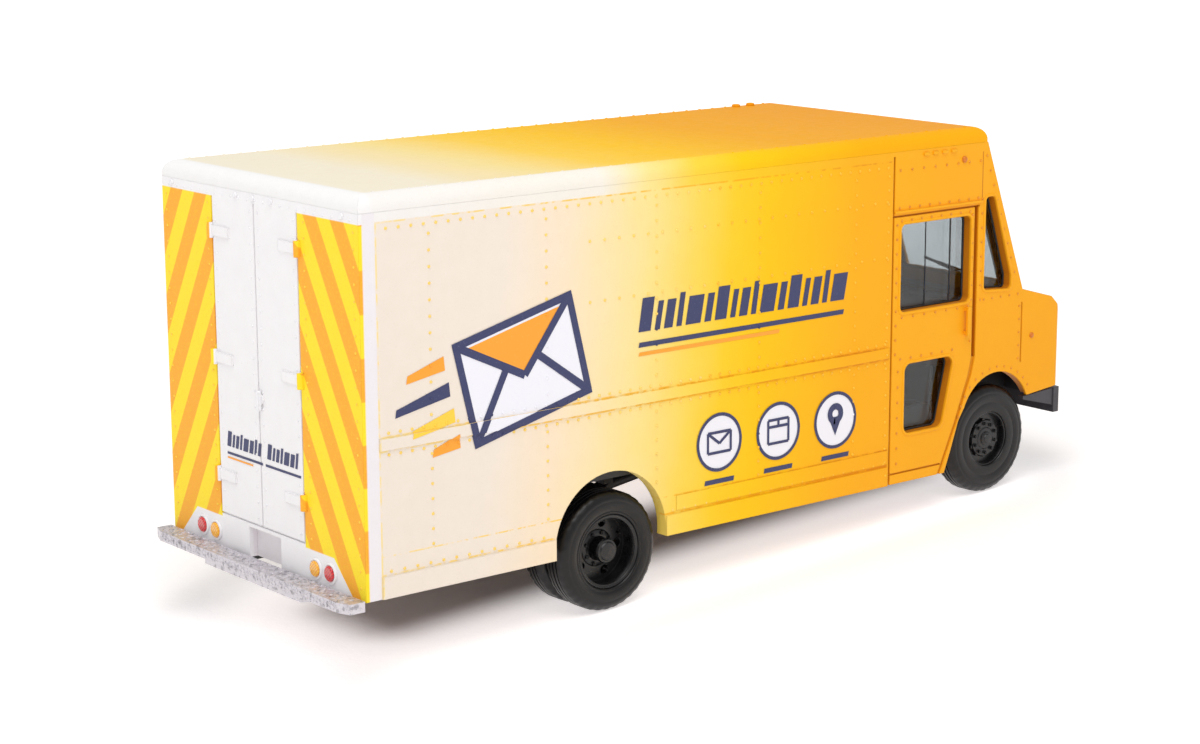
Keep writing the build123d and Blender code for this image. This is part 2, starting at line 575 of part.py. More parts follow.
def make_seat_pedestal():
    base = block(SEAT_X - 2.0, SEAT_X + 1.8, SEAT_Y - 1.6, SEAT_Y + 1.6, FLOOR_TOP, FLOOR_TOP + 0.5)
    return base + block(SEAT_X - 1.2, SEAT_X + 1.0, SEAT_Y - 1.0, SEAT_Y + 1.0, FLOOR_TOP, 15.4)


def make_driver_seat():
    cushion = block(SEAT_X - 2.4, SEAT_X + 2.4, SEAT_Y - 2.5, SEAT_Y + 2.5, 15.4, 16.9)
    x = SEAT_X
    back_line = [(x - 2.8, 15.4), (x - 1.2, 16.2), (x - 2.2, 22.6), (x - 3.4, 22.6)]
    back = side_prism(back_line, SEAT_Y - 2.4, SEAT_Y + 2.4)
    head = block(x - 3.4, x - 2.4, SEAT_Y - 1.3, SEAT_Y + 1.3, 22.6, 24.2)
    return fillet(cushion.edges().filter_by(Axis.Z), 0.5) + back + head


DASH_TOP = 19.6


def make_dashboard():
    """Full-width dash moulding that bridges the two wheel boxes below the windscreen."""
    x = DOOR_FRONT_X
    points = [
        (x + 1.2, 17.4), (x + 1.2, 18.6), (x + 2.4, DASH_TOP),
        (x + 4.9, DASH_TOP), (x + 4.9, 15.0), (x + 3.6, 15.0),
    ]
    dash = side_prism(points, -INNER, INNER)
    cowl_line = [(x + 1.4, 18.4), (x + 1.7, 20.1), (x + 3.2, 20.1), (x + 3.6, 19.0)]
    cowl = side_prism(cowl_line, SEAT_Y - 2.1, SEAT_Y + 2.1)
    return dash + cowl


WHEEL_CENTRE = (DOOR_FRONT_X, SEAT_Y, 20.1)
COLUMN_FOOT = (DOOR_FRONT_X + 2.6, SEAT_Y, 17.2)


def make_steering_column():
    column = rod_between(COLUMN_FOOT, WHEEL_CENTRE, 0.3)
    return column - make_dashboard()


def make_steering_wheel():
    axis = Vector(*WHEEL_CENTRE) - Vector(*COLUMN_FOOT)
    plane = Plane(origin=WHEEL_CENTRE, z_dir=axis)
    rim_radius, rim_thick, hub_radius = 2.3, 0.24, 0.55
    wheel = plane * Torus(rim_radius, rim_thick)
    wheel += plane * Pos(0, 0, 0.1) * Cylinder(hub_radius, 0.4)
    for angle in (90, 210, 330):
        spoke = Pos(rim_radius / 2, 0, 0.05) * Box(rim_radius, 0.36, 0.2)
        wheel += plane * Rot(0, 0, angle) * spoke
    return wheel - rod_between(COLUMN_FOOT, WHEEL_CENTRE, 0.3)


# ---- lamps and small trim -----------------------------------------------------------------------
def make_tail_lamps(colour):
    lenses = []
    for name, y, z in TAIL_LAMPS:
        if name == colour:
            for sign in (-1, 1):
                lens = rod_x(sign * y, z, TAIL_LAMP_RADIUS, -0.3, 0.5)
                lenses.append(fillet(lens.edges().group_by(Axis.X)[0], 0.15))
    return group(lenses)


def make_rear_markers():
    return group([rod_x(y, MARKER_Z, MARKER_RADIUS, -0.15, 0.3) for y in REAR_MARKERS_Y])


def make_front_markers():
    """Clearance lamps let into the header above the windscreen."""
    x = screen_x(FRONT_MARKER_Z)
    return group([rod_x(y, FRONT_MARKER_Z, MARKER_RADIUS, x - 0.4, x + 0.2) for y in FRONT_MARKERS_Y])


def make_roof_vents():
    """Two low vent caps near the left edge of the roof, over the cab."""
    vents = []
    for back in (5.9, 4.1):
        vent = Pos(SCREEN_TOP_X - back, HALF - 1.5, ROOF_TOP_Z) * Cylinder(
            0.4, 0.24, align=(Align.CENTER, Align.CENTER, Align.MIN))
        vents.append(fillet(vent.edges().group_by(Axis.Z)[-1], 0.14))
    return group(vents)


def make_headlamps():
    x0 = HOOD_FRONT_X
    lenses = []
    for sign in (-1, 1):
        lens = rod_x(sign * HEADLAMP_Y, HEADLAMP_Z, HEADLAMP_RADIUS, x0 - 0.5, x0 + 0.25)
        lenses.append(fillet(lens.edges().group_by(Axis.X)[-1], 0.22))
    return group(lenses)


def make_turn_lamps():
    x0 = HOOD_FRONT_X
    lenses = []
    for sign in (-1, 1):
        y = sign * HEADLAMP_Y
        lens = block(x0 - 0.5, x0 + 0.2, y - 1.2, y + 1.2, TURN_LAMP_Z - 0.45, TURN_LAMP_Z + 0.45)
        lenses.append(fillet(lens.edges().group_by(Axis.X)[-1], 0.12))
    return group(lenses)


def make_grille():
    """Recessed panel with horizontal bars inside a border."""
    x0 = HOOD_FRONT_X
    grille = block(x0 - 0.5, x0 + 0.1, -GRILLE_HALF, GRILLE_HALF, 12.2, 17.4)
    bars = 6
    pitch = (17.4 - 12.2 - 0.5) / bars
    for row in range(bars):
        z0 = 12.2 + 0.5 + row * pitch
        for y0, y1 in ((-GRILLE_HALF + 0.5, -0.25), (0.25, GRILLE_HALF - 0.5)):
            grille -= block(x0 - 0.25, x0 + 1, y0, y1, z0, z0 + pitch - 0.35)
    return grille


def make_wipers():
    """Two arms parked along the windscreen's lower edge, each on a round pivot."""
    wipers = []
    for pivot_y in (2.0, -9.0):
        z0, z1 = SCREEN_BASE_Z + 0.35, SCREEN_BASE_Z + 1.9
        pivot = (screen_x(z0) + 0.1, pivot_y, z0)
        tip = (screen_x(z1) + 0.1, pivot_y + 6.4, z1)
        blade_start = (screen_x(z1 - 0.7) - 0.02, pivot_y + 2.0, z1 - 0.7)
        wiper = rod_between(pivot, tip, 0.13)
        wiper += rod_between((pivot[0] - 0.1, pivot_y, z0), (pivot[0] + 0.25, pivot_y, z0 + 0.09), 0.35)
        wiper += rod_between(blade_start, tip, 0.12)
        wipers.append(wiper - make_screen_solid())
    return group(wipers)


def make_screen_solid():
    """The leaning front wall as a solid block, used to keep trim on its outer face."""
    return side_prism(body_outline(), -HALF, HALF)


def make_door_handles():
    """A grab bar on each sliding door, standing on two feet."""
    handles = []
    for sign in (-1, 1):
        skin = sign * HALF
        y0, y1 = sorted((skin + sign * 0.3, skin + sign * 0.52))
        bar = block(DOOR_FRONT_X - 1.1, DOOR_FRONT_X - 0.65, y0, y1, 17.6, 20.2)
        for z in (17.7, 19.8):
            y0, y1 = sorted((skin, skin + sign * 0.3))
            bar += block(DOOR_FRONT_X - 1.05, DOOR_FRONT_X - 0.7, y0, y1, z, z + 0.3)
        handles.append(bar)
    return group(handles)


def make_rear_latch():
    latch = block(-0.42, -0.12, -0.28, 0.08, 17.7, 19.3)
    latch = fillet(latch.edges().filter_by(Axis.X), 0.12)
    return latch


# ---- wheels, drawn about the origin with the axle along Y -----------------------------------------
def tyre(y0, y1):
    """Rounded-shoulder tyre, hollow to the rim."""
    outer = rod_y(0, 0, WHEEL_RADIUS, y0, y1)
    outer = fillet(outer.edges().filter_by(GeomType.CIRCLE), 0.45)
    return outer - rod_y(0, 0, RIM_RADIUS, y0 - 1, y1 + 1)


RIM_WALL = 0.3
HAND_HOLES = 5
LUGS = 10


def ring_of(solid, count, start=0.0):
    return [Rot(0, start + index * 360 / count, 0) * solid for index in range(count)]


def make_rear_rim():
    """Dual rim: one barrel through both tyres, a deep-set disc with hand holes, and a hub cap."""
    y0, y1 = DUAL_INNER[0] + 0.1, DUAL_OUTER[1] - 0.25
    disc_out = y1 - 1.5
    rim = rod_y(0, 0, RIM_RADIUS, y0, y1) - rod_y(0, 0, RIM_RADIUS - RIM_WALL, disc_out, y1 + 1)
    rim -= rod_y(0, 0, RIM_RADIUS - RIM_WALL, y0 - 1, disc_out - 0.6)
    rim += rod_y(0, 0, 1.5, y0, disc_out)
    rim += rod_y(0, 0, 0.95, disc_out, y1 - 0.15)
    for hole in ring_of(rod_y(0, 2.1, 0.38, y0 - 1, y1 + 1), HAND_HOLES, 18):
        rim -= hole
    return rim - rod_y(0, 0, ROD_RADIUS, y0 - 1, y1 - 0.8)


def make_front_rim():
    """Single rim with a shallow-set disc, a ring of wheel nuts and a hub cap."""
    y0, y1 = FRONT_TYRE[0] + 0.1, FRONT_TYRE[1] - 0.25
    disc_out = y1 - 0.55
    rim = rod_y(0, 0, RIM_RADIUS, y0, y1) - rod_y(0, 0, RIM_RADIUS - RIM_WALL, disc_out, y1 + 1)
    rim -= rod_y(0, 0, RIM_RADIUS - RIM_WALL, y0 - 1, disc_out - 0.6)
    rim += rod_y(0, 0, 1.2, y0, disc_out)
    rim += rod_y(0, 0, 1.0, disc_out, disc_out + 0.3) + rod_y(0, 0, 0.62, disc_out, y1 - 0.05)
    for nut in ring_of(rod_y(0, 1.6, 0.2, disc_out - 0.1, disc_out + 0.25), LUGS):
        rim += nut
    return rim - rod_y(0, 0, ROD_RADIUS, y0 - 1, disc_out - 0.2)


def make_axle_rod(end_y):
    return rod_y(0, 0, ROD_RADIUS, -end_y, end_y)


# ---- assembly -----------------------------------------------------------------------------------
def body_pieces():
    """Everything carried by the body, in the body's own level frame."""
    return {
        "body_shell": make_body_shell(),
        "roof_cap": make_roof_cap(),
        "windscreen": make_windscreen(),
        "door_window_right": pane(DOOR_WINDOW, DOOR_WINDOW_RADIUS, -1),
        "door_window_left": pane(DOOR_WINDOW, DOOR_WINDOW_RADIUS, 1),
        "quarter_window_right": make_quarter_window(-1),
        "quarter_window_left": make_quarter_window(1),
        "kerb_window_right": make_kerb_window(),
        "floor_pan": make_floor_pan(),
        "ladder_frame": make_ladder_frame(),
        "chassis_screws": make_chassis_screws(),
        "rear_leaf_springs": make_leaf_springs(REAR_AXLE_X, REAR_AXLE_Z),
        "front_leaf_springs": make_leaf_springs(FRONT_AXLE_X, FRONT_AXLE_Z),
        "rear_axle_housing": make_rear_axle_housing(),
        "front_axle_beam": make_front_axle_beam(),
        "drive_shaft": make_drive_shaft(),
        "gearbox": make_gearbox(),
        "engine_sump": make_engine_sump(),
        "fuel_tank": make_fuel_tank(),
        "exhaust": make_exhaust(),
        "rear_bumper": make_rear_bumper(),
        "rear_bumper_brackets": group(both_sides(make_rear_bumper_brackets())),
        "front_bumper": make_front_bumper(),
        "bulkhead": make_bulkhead(),
        "seat_pedestal": make_seat_pedestal(),
        "driver_seat": make_driver_seat(),
        "dashboard": make_dashboard(),
        "steering_column": make_steering_column(),
        "steering_wheel": make_steering_wheel(),
        "tail_lamps_red": make_tail_lamps("red"),
        "tail_lamps_amber": make_tail_lamps("amber"),
        "rear_marker_lamps": make_rear_markers(),
        "front_marker_lamps": make_front_markers(),
        "roof_vents": make_roof_vents(),
        "headlamps": make_headlamps(),
        "turn_lamps": make_turn_lamps(),
        "grille": make_grille(),
        "wipers": make_wipers(),
        "door_handles": make_door_handles(),
        "rear_latch": make_rear_latch(),
    }


def wheelset_pieces(end):
    """The pieces that turn together on one axle, about the origin."""
    track = DUAL_OUTER if end == "rear" else FRONT_TYRE
    pieces = {end + "_axle_rod": make_axle_rod(track[1] - 1.05)}
    rim = make_rear_rim() if end == "rear" else make_front_rim()
    for side, solid in zip(("left", "right"), both_sides(rim)):
        pieces[end + "_rim_" + side] = solid
    for side, solid in zip(("left", "right"), both_sides(tyre(*track))):
        pieces[end + "_tyre_" + side + ("_outer" if end == "rear" else "")] = solid
    if end == "rear":
        for side, solid in zip(("left", "right"), both_sides(tyre(*DUAL_INNER))):
            pieces["rear_tyre_" + side + "_inner"] = solid
    return pieces


def assemble():
    """Place every piece with the rear axle above x = 0, then centre the van on its box."""
    pitch = Pos(0, 0, REAR_AXLE_Z) * Rot(0, RAKE, 0) * Pos(-REAR_AXLE_X, 0, -REAR_AXLE_Z)
    placed = {name: pitch * solid for name, solid in body_pieces().items()}
    for end, x in (("rear", 0.0), ("front", WHEELBASE)):
        for name, solid in wheelset_pieces(end).items():
            placed[name] = Pos(x, 0, WHEEL_RADIUS) * solid
    boxes = [solid.bounding_box() for solid in placed.values()]
    middle = (min(box.min.X for box in boxes) + max(box.max.X for box in boxes)) / 2
    return {name: Pos(-middle, 0, 0) * solid for name, solid in placed.items()}, middle


def main():
    os.makedirs("parts", exist_ok=True)
    placed, middle = assemble()
    for name, solid in placed.items():
        export_step(solid, "parts/" + name + ".step")
    print("rear axle x", round(-middle, 4), "front axle x", round(WHEELBASE - middle, 4))


main()
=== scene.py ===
import bmesh
import bpy
import json
import math
from mathutils import Matrix, Vector


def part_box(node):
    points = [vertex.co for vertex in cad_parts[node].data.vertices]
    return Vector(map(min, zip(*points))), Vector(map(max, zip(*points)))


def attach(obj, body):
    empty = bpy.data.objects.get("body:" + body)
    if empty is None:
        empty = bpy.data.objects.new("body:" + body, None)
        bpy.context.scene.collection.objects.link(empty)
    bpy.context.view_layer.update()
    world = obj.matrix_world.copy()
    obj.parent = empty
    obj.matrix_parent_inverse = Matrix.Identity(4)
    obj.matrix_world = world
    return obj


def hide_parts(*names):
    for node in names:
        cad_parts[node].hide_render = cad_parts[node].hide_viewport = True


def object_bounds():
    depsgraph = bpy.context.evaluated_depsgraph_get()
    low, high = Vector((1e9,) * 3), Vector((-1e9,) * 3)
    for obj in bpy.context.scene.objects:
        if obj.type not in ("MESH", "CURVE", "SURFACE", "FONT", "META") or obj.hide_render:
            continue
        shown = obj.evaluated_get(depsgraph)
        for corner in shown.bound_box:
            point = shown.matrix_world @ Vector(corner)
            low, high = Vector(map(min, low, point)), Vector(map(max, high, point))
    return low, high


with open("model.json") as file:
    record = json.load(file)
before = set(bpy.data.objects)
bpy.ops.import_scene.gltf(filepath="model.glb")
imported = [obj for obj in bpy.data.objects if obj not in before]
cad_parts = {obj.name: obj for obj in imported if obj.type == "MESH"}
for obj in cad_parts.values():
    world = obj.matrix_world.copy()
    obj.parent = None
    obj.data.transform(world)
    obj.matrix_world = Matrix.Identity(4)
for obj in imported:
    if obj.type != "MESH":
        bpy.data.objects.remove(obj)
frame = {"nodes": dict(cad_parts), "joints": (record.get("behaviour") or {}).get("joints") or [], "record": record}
CAD_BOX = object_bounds()

# ---- places: the body's own level frame, in millimetres, as the CAD draws it ----------------------
MM = 0.001
JOINT = {j["name"]: Vector(j["pos_m"]) / MM for j in frame["joints"]}
REAR_X, FRONT_X = JOINT["rear_axle_roll"].x, JOINT["front_axle_roll"].x
AXLE_Z = JOINT["rear_axle_roll"].z
BODY_REAR_AXLE = Vector((23.79, 0, 4.93))
PITCH = math.atan2(2.58, 44.16)
ROW_REAR_AXLE = Vector((REAR_X, 0, AXLE_Z))
TO_ROW = (Matrix.Scale(MM, 4) @ Matrix.Translation(ROW_REAR_AXLE)
          @ Matrix.Rotation(PITCH, 4, "Y") @ Matrix.Translation(-BODY_REAR_AXLE))
BODY_SHIFT = BODY_REAR_AXLE - Matrix.Rotation(-PITCH, 3, "Y") @ ROW_REAR_AXLE
HALF = 14.0
INNER = 12.9
CARGO_END = 54.8
REAR_ARCH = (23.6, 6.0, 5.7)
FRONT_ARCH = (68.4, 9.2, 4.5)
BELT = (16.75, 17.7, 0.12)
SCREEN_BASE = (71.55, 20.9)
SCREEN_TOP = (66.5, 34.6)
ROOF_Z = 35.95
HOOD_X = 76.8


def screen_x(z):
    """The windscreen's outer face at a height."""
    (base_x, base_z), (top_x, top_z) = SCREEN_BASE, SCREEN_TOP
    return base_x - (z - base_z) * (base_x - top_x) / (top_z - base_z)


def lin(r, g, b):
    """A display colour (0 to 255) as linear light."""
    def one(v):
        v /= 255
        return v / 12.92 if v <= 0.04045 else ((v + 0.055) / 1.055) ** 2.4
    return (one(r), one(g), one(b), 1.0)


# ---- shaders -------------------------------------------------------------------------------------
class Shader:
    """A node material. Lengths in its patterns are millimetres."""

    def __init__(self, name, **sockets):
        self.mat = bpy.data.materials.new(name)
        self.mat.use_nodes = True
        self.nodes, self.links = self.mat.node_tree.nodes, self.mat.node_tree.links
        self.nodes.clear()
        out = self.nodes.new("ShaderNodeOutputMaterial")
        self.bsdf = self.nodes.new("ShaderNodeBsdfPrincipled")
        self.links.new(self.bsdf.outputs[0], out.inputs[0])
        for key, value in sockets.items():
            self.set(key.replace("_", " "), value)

    def feed(self, socket, value):
        if isinstance(value, bpy.types.NodeSocket):
            self.links.new(value, socket)
        else:
            socket.default_value = value

    def set(self, name, value):
        self.feed(self.bsdf.inputs[name], value)
        return self

    def node(self, kind, *values, **props):
        made = self.nodes.new(kind)
        for key, value in props.items():
            setattr(made, key, value)
        for socket, value in zip(made.inputs, values):
            if value is not None:
                self.feed(socket, value)
        return made

    def math(self, operation, *values):
        return self.node("ShaderNodeMath", *values, operation=operation).outputs[0]

    def step(self, value, low, high):
        made = self.node("ShaderNodeMapRange", value, low, high, interpolation_type="SMOOTHSTEP")
        return made.outputs[0]

    def inside(self, value, low, high, soft=0.05):
        rise = self.step(value, low - soft, low + soft)
        fall = self.step(value, high - soft, high + soft)
        return self.math("SUBTRACT", rise, fall)

    def noise(self, where, scale, detail=2.0, roughness=0.5):
        made = self.node("ShaderNodeTexNoise")
        self.feed(made.inputs["Vector"], where)
        made.inputs["Scale"].default_value = scale
        made.inputs["Detail"].default_value = detail
        made.inputs["Roughness"].default_value = roughness
        return made.outputs[0]

    def cells(self, where, scale):
        made = self.node("ShaderNodeTexVoronoi")
        self.feed(made.inputs["Vector"], where)
        made.inputs["Scale"].default_value = scale
        return made.outputs["Distance"]

    def mix(self, factor, first, second, blend="MIX"):
        made = self.node("ShaderNodeMix", data_type="RGBA", blend_type=blend)
        self.feed(made.inputs[0], factor)
        self.feed(made.inputs[6], first)
        self.feed(made.inputs[7], second)
        return made.outputs[2]

    def ramp(self, factor, stops):
        made = self.node("ShaderNodeValToRGB", factor)
        points = made.color_ramp.elements
        while len(points) < len(stops):
            points.new(0.5)
        for point, (place, colour) in zip(points, stops):
            point.position = place
            point.color = colour
        return made.outputs[0]

    def place(self, origin=None):
        """Vector and its x, y, z in the body's frame, or about an axle at the given origin."""
        where = self.node("ShaderNodeTexCoord").outputs["Object"]
        made = self.node("ShaderNodeMapping")
        self.feed(made.inputs["Vector"], where)
        made.inputs["Scale"].default_value = (1 / MM, 1 / MM, 1 / MM)
        if origin is None:
            made.inputs["Rotation"].default_value = (0, -PITCH, 0)
            made.inputs["Location"].default_value = BODY_SHIFT
        else:
            made.inputs["Location"].default_value = -origin
        split = self.node("ShaderNodeSeparateXYZ", made.outputs[0])
        return (made.outputs[0], *split.outputs)

    def surface(self, height, strength, distance, bevel=0.0):
        """Bump from a height, over edges softened by a small bevel."""
        made = self.node("ShaderNodeBump")
        made.inputs["Strength"].default_value = strength
        made.inputs["Distance"].default_value = distance * MM
        self.feed(made.inputs["Height"], height)
        if bevel:
            soft = self.node("ShaderNodeBevel", samples=4)
            soft.inputs["Radius"].default_value = bevel * MM
            self.feed(made.inputs["Normal"], soft.outputs[0])
        self.set("Normal", made.outputs[0])
        return self


SIDE_FADE = [
    (0, (236, 225, 213)), (12, (238, 227, 214)), (18, (246, 226, 198)), (22.5, (248, 226, 174)),
    (26.6, (249, 224, 145)), (31.8, (251, 214, 86)), (35.5, (251, 205, 38)), (39.4, (250, 198, 10)),
    (45, (249, 187, 14)), (50, (248, 176, 20)), (60, (247, 172, 24)), (80, (245, 168, 24)),
]
ROOF_FADE = [
    (0, (240, 233, 216)), (16, (240, 231, 208)), (20, (243, 225, 178)), (24, (245, 222, 150)),
    (30, (250, 206, 70)), (36, (250, 196, 16)), (46, (244, 172, 14)),
    (58, (241, 164, 30)), (80, (234, 146, 20)),
]
BAND_FADE = [
    (0, (238, 236, 234)), (21, (240, 235, 224)), (26, (247, 226, 150)), (31, (250, 210, 70)),
    (36, (249, 200, 28)), (50, (247, 176, 24)), (80, (245, 168, 26)),
]


def fade(shader, along, stops, length=80.0):
    return shader.ramp(shader.math("DIVIDE", along, length), [(x / length, lin(*rgb)) for x, rgb in stops])


def speckled(shader, where, colour, amount=0.10):
    """Fine printed ink grain over a colour."""
    grain = shader.noise(where, 5.5, 3.0, 0.75)
    dark = shader.step(grain, 0.56, 0.74)
    return shader.mix(shader.math("MULTIPLY", dark, amount), colour, lin(150, 96, 52))


def rear_stripes(shader, where, y, z):
    """Diagonal warning stripes on both outer panels of the rear, and white between and below them."""
    off = shader.math("ABSOLUTE", shader.math("SUBTRACT", y, 0.25))
    lean = shader.math("MULTIPLY_ADD", z, 0.56, off)
    turn = shader.math("FRACT", shader.math("MULTIPLY_ADD", lean, 1 / 3.65, 0.174))
    near = shader.math("ABSOLUTE", shader.math("SUBTRACT", turn, 0.5))
    orange = shader.math("SUBTRACT", 1.0, shader.step(near, 0.238, 0.262))
    dots = shader.step(shader.cells(where, 3.6), 0.42, 0.20)
    patchy = shader.math("MULTIPLY", dots, 0.22)
    ink = shader.math("SUBTRACT", orange, shader.math("MULTIPLY", patchy, orange))
    colour = shader.mix(ink, lin(255, 226, 48), lin(250, 176, 52))
    colour = shader.mix(shader.math("MULTIPLY", shader.step(dots, 0.4, 0.9), 0.10), colour, lin(236, 160, 50))
    outer = shader.step(off, 6.05, 6.13)
    drop = shader.math("MULTIPLY", shader.math("MAXIMUM", shader.math("SUBTRACT", off, 10.0), 0.0), 1.02)
    above = shader.step(shader.math("ADD", z, drop), 7.9, 8.0)
    below = shader.math("SUBTRACT", 1.0, shader.step(z, 33.75, 33.85))
    mask = shader.math("MULTIPLY", shader.math("MULTIPLY", outer, above), below)
    white = shader.mix(shader.noise(where, 0.4, 2.0), lin(244, 243, 245), lin(238, 237, 240))
    return shader.mix(mask, white, colour)


def ink_lines(shader, where, x, z):
    """How much of the thin broken panel-edge ink shows at a place on the side."""
    lines = None
    edges = ((z, 33.82, 0.07), (z, 17.74, 0.09), (z, 16.70, 0.09), (z, 7.20, 0.08), (z, 8.64, 0.06),
             (x, 1.50, 0.08))
    for value, centre, half in edges:
        band = shader.inside(value, centre - half, centre + half, 0.03)
        lines = band if lines is None else shader.math("MAXIMUM", lines, band)
    worn = shader.step(shader.noise(where, 1.1, 3.0, 0.6), 0.40, 0.56)
    panel = shader.inside(x, 1.4, CARGO_END - 0.2)
    return shader.math("MULTIPLY", shader.math("MULTIPLY", lines, worn), panel)


def printed_plastic(name, roof=False):
    """Moulded body plastic, airbrushed from cream at the rear to orange at the nose, then printed; on the sides,
    painted shade darkens the cab's recesses, window jambs and header edge.
    """
    s = Shader(name)
    where, x, y, z = s.place()
    off = s.math("ABSOLUTE", y)
    wobble = s.math("MULTIPLY_ADD", s.noise(where, 0.22, 2.0), 2.2, -1.1)
    along = s.math("ADD", s.math("MULTIPLY_ADD", z, -0.10, 2.0), s.math("ADD", x, wobble))
    band = fade(s, along, BAND_FADE)
    if roof:
        reach = s.math("MULTIPLY_ADD", along, 0.8, 11.0)
        edge = s.math("MAXIMUM", s.step(off, 12.75, 13.15), s.step(z, 35.75, 35.55))
        colour = s.mix(edge, fade(s, reach, ROOF_FADE), band)
        colour = s.mix(s.step(x, 1.5, 0.9), colour, lin(240, 240, 240))
    else:
        side = fade(s, along, SIDE_FADE)
        line = ink_lines(s, where, x, z)
        ink = s.ramp(s.math("DIVIDE", x, 80.0), [(0.0, lin(246, 222, 150)), (0.2, lin(250, 205, 70)),
                                                  (0.45, lin(244, 172, 10)), (0.7, lin(226, 140, 10))])
        side = s.mix(s.math("MULTIPLY", line, 0.85), side, ink)
        side = s.mix(s.step(z, 33.84, 33.94), side, band)
        side = s.mix(s.step(x, 1.45, 1.38), side, lin(236, 232, 236))
        # Painted shade: faces set into the cab side between the skin and the inner wall (the channel ahead of the
        # door, the window jambs) and a thin line along the header panel's front edge take a dark orange-brown that
        # stands in for the shade falling in them.
        recess_shade = s.math("MULTIPLY", s.step(off, 13.93, 13.80), s.inside(x, CARGO_END - 0.3, HOOD_X - 0.8))
        recess_shade = s.math("MULTIPLY", recess_shade, s.step(off, 12.7, 12.8))
        edge = s.math("MULTIPLY", s.inside(x, 65.86, 65.98, 0.03), s.inside(z, 29.5, 33.8))
        edge = s.math("MULTIPLY", edge, s.step(off, 13.90, 13.96))
        side = s.mix(s.math("MULTIPLY", s.math("MAXIMUM", recess_shade, edge), 0.75), side, lin(190, 104, 22))
        rear = s.step(x, 0.40, 0.25)
        colour = s.mix(rear, side, rear_stripes(s, where, y, z))
        hidden = s.math("MULTIPLY", s.step(off, 12.88, 12.80), s.inside(x, 1.05, 66.0))
        colour = s.mix(hidden, colour, lin(196, 178, 140))
    colour = speckled(s, where, colour)
    tone = s.math("MULTIPLY", s.noise(where, 0.9, 3.0), 0.22)
    colour = s.mix(tone, colour, s.mix(1.0, colour, (0.82, 0.78, 0.72, 1), "MULTIPLY"))
    s.set("Base Color", colour)
    s.set("Roughness", s.math("MULTIPLY_ADD", s.noise(where, 1.6, 4.0), 0.22, 0.34))
    s.set("IOR", 1.48)
    s.set("Specular IOR Level", 0.03 if roof else 0.16)
    height = s.math("MULTIPLY_ADD", s.noise(where, 9.0, 3.0, 0.7), 0.35, s.noise(where, 1.3, 2.0))
    return s.surface(height, 0.22, 0.030, bevel=0.10)


def ink(name, rgb, worn_rgb):
    """Printed ink: a flat film broken by a fine grain."""
    s = Shader(name)
    where, *_ = s.place()
    grain = s.step(s.noise(where, 6.5, 3.0, 0.7), 0.60, 0.72)
    s.set("Base Color", s.mix(s.math("MULTIPLY", grain, 0.45), lin(*rgb), lin(*worn_rgb)))
    s.set("Roughness", s.math("MULTIPLY_ADD", s.noise(where, 3.0, 3.0), 0.2, 0.34))
    return s.surface(s.noise(where, 9.0, 2.0), 0.12, 0.02)


def moulded(name, rgb, lit, rough=0.45, spread=0.18, grain=4.0, strength=0.2, metallic=0.0, bevel=0.06,
            origin=None):
    """Hard moulded plastic or painted metal with slow tone change, fine grain and softened edges."""
    s = Shader(name)
    where, x, y, z = s.place(origin)
    slow = s.noise(where, 0.6, 3.0)
    fine = s.noise(where, grain, 3.0, 0.65)
    s.set("Base Color", s.mix(s.step(fine, 0.40, 0.75), s.mix(slow, lin(*rgb), lin(*lit)), lin(*lit)))
    s.set("Roughness", s.math("MULTIPLY_ADD", fine, spread, rough - spread / 2))
    s.set("Metallic", metallic)
    return s.surface(fine, strength, 0.03, bevel)


def rubber(name, origin):
    """Moulded black tyre: satin, with faint rings on its walls and dust in the tread."""
    s = Shader(name)
    where, x, y, z = s.place(origin)
    radius = s.math("SQRT", s.math("ADD", s.math("MULTIPLY", x, x), s.math("MULTIPLY", z, z)))
    rings = s.math("SINE", s.math("MULTIPLY", radius, 34.0))
    fine = s.noise(where, 7.0, 3.0, 0.7)
    dust = s.math("MULTIPLY", s.step(s.noise(where, 1.1, 3.0), 0.45, 0.72), 0.5)
    colour = s.mix(fine, lin(7, 6, 7), lin(13, 12, 13))
    s.set("Base Color", s.mix(dust, colour, lin(19, 17, 18)))
    s.set("Specular IOR Level", 0.38)
    s.set("Roughness", s.math("MULTIPLY_ADD", fine, 0.16, 0.24))
    height = s.math("MULTIPLY_ADD", rings, 0.10, fine)
    return s.surface(height, 0.30, 0.030)


def lens(name, rgb, deep, bars):
    """Coloured clear plastic over fine ribs."""
    s = Shader(name)
    where, x, y, z = s.place()
    ribs = s.math("SINE", s.math("MULTIPLY", s.math("ADD", y, z), bars))
    s.set("Base Color", s.mix(s.step(ribs, -0.6, 0.9), lin(*deep), lin(*rgb)))
    s.set("Roughness", s.math("MULTIPLY_ADD", s.noise(where, 3.0), 0.10, 0.08))
    s.set("Coat Weight", 1.0)
    s.set("Coat Roughness", 0.04)
    s.set("Subsurface Weight", 0.10)
    s.set("Subsurface Radius", (0.0008, 0.0004, 0.0003))
    return s.surface(ribs, 0.35, 0.03, bevel=0.05)


def clear_plastic(name):
    """Thick clear moulding with a faint smoke tint and slow ripples."""
    s = Shader(name)
    where, x, y, z = s.place()
    s.set("Base Color", s.mix(s.noise(where, 0.3), lin(214, 220, 222), lin(188, 195, 198)))
    s.set("Transmission Weight", 1.0)
    s.set("IOR", 1.46)
    s.set("Roughness", s.math("MULTIPLY_ADD", s.noise(where, 0.8, 3.0), 0.06, 0.01))
    return s.surface(s.noise(where, 0.45, 2.0), 0.10, 0.10)


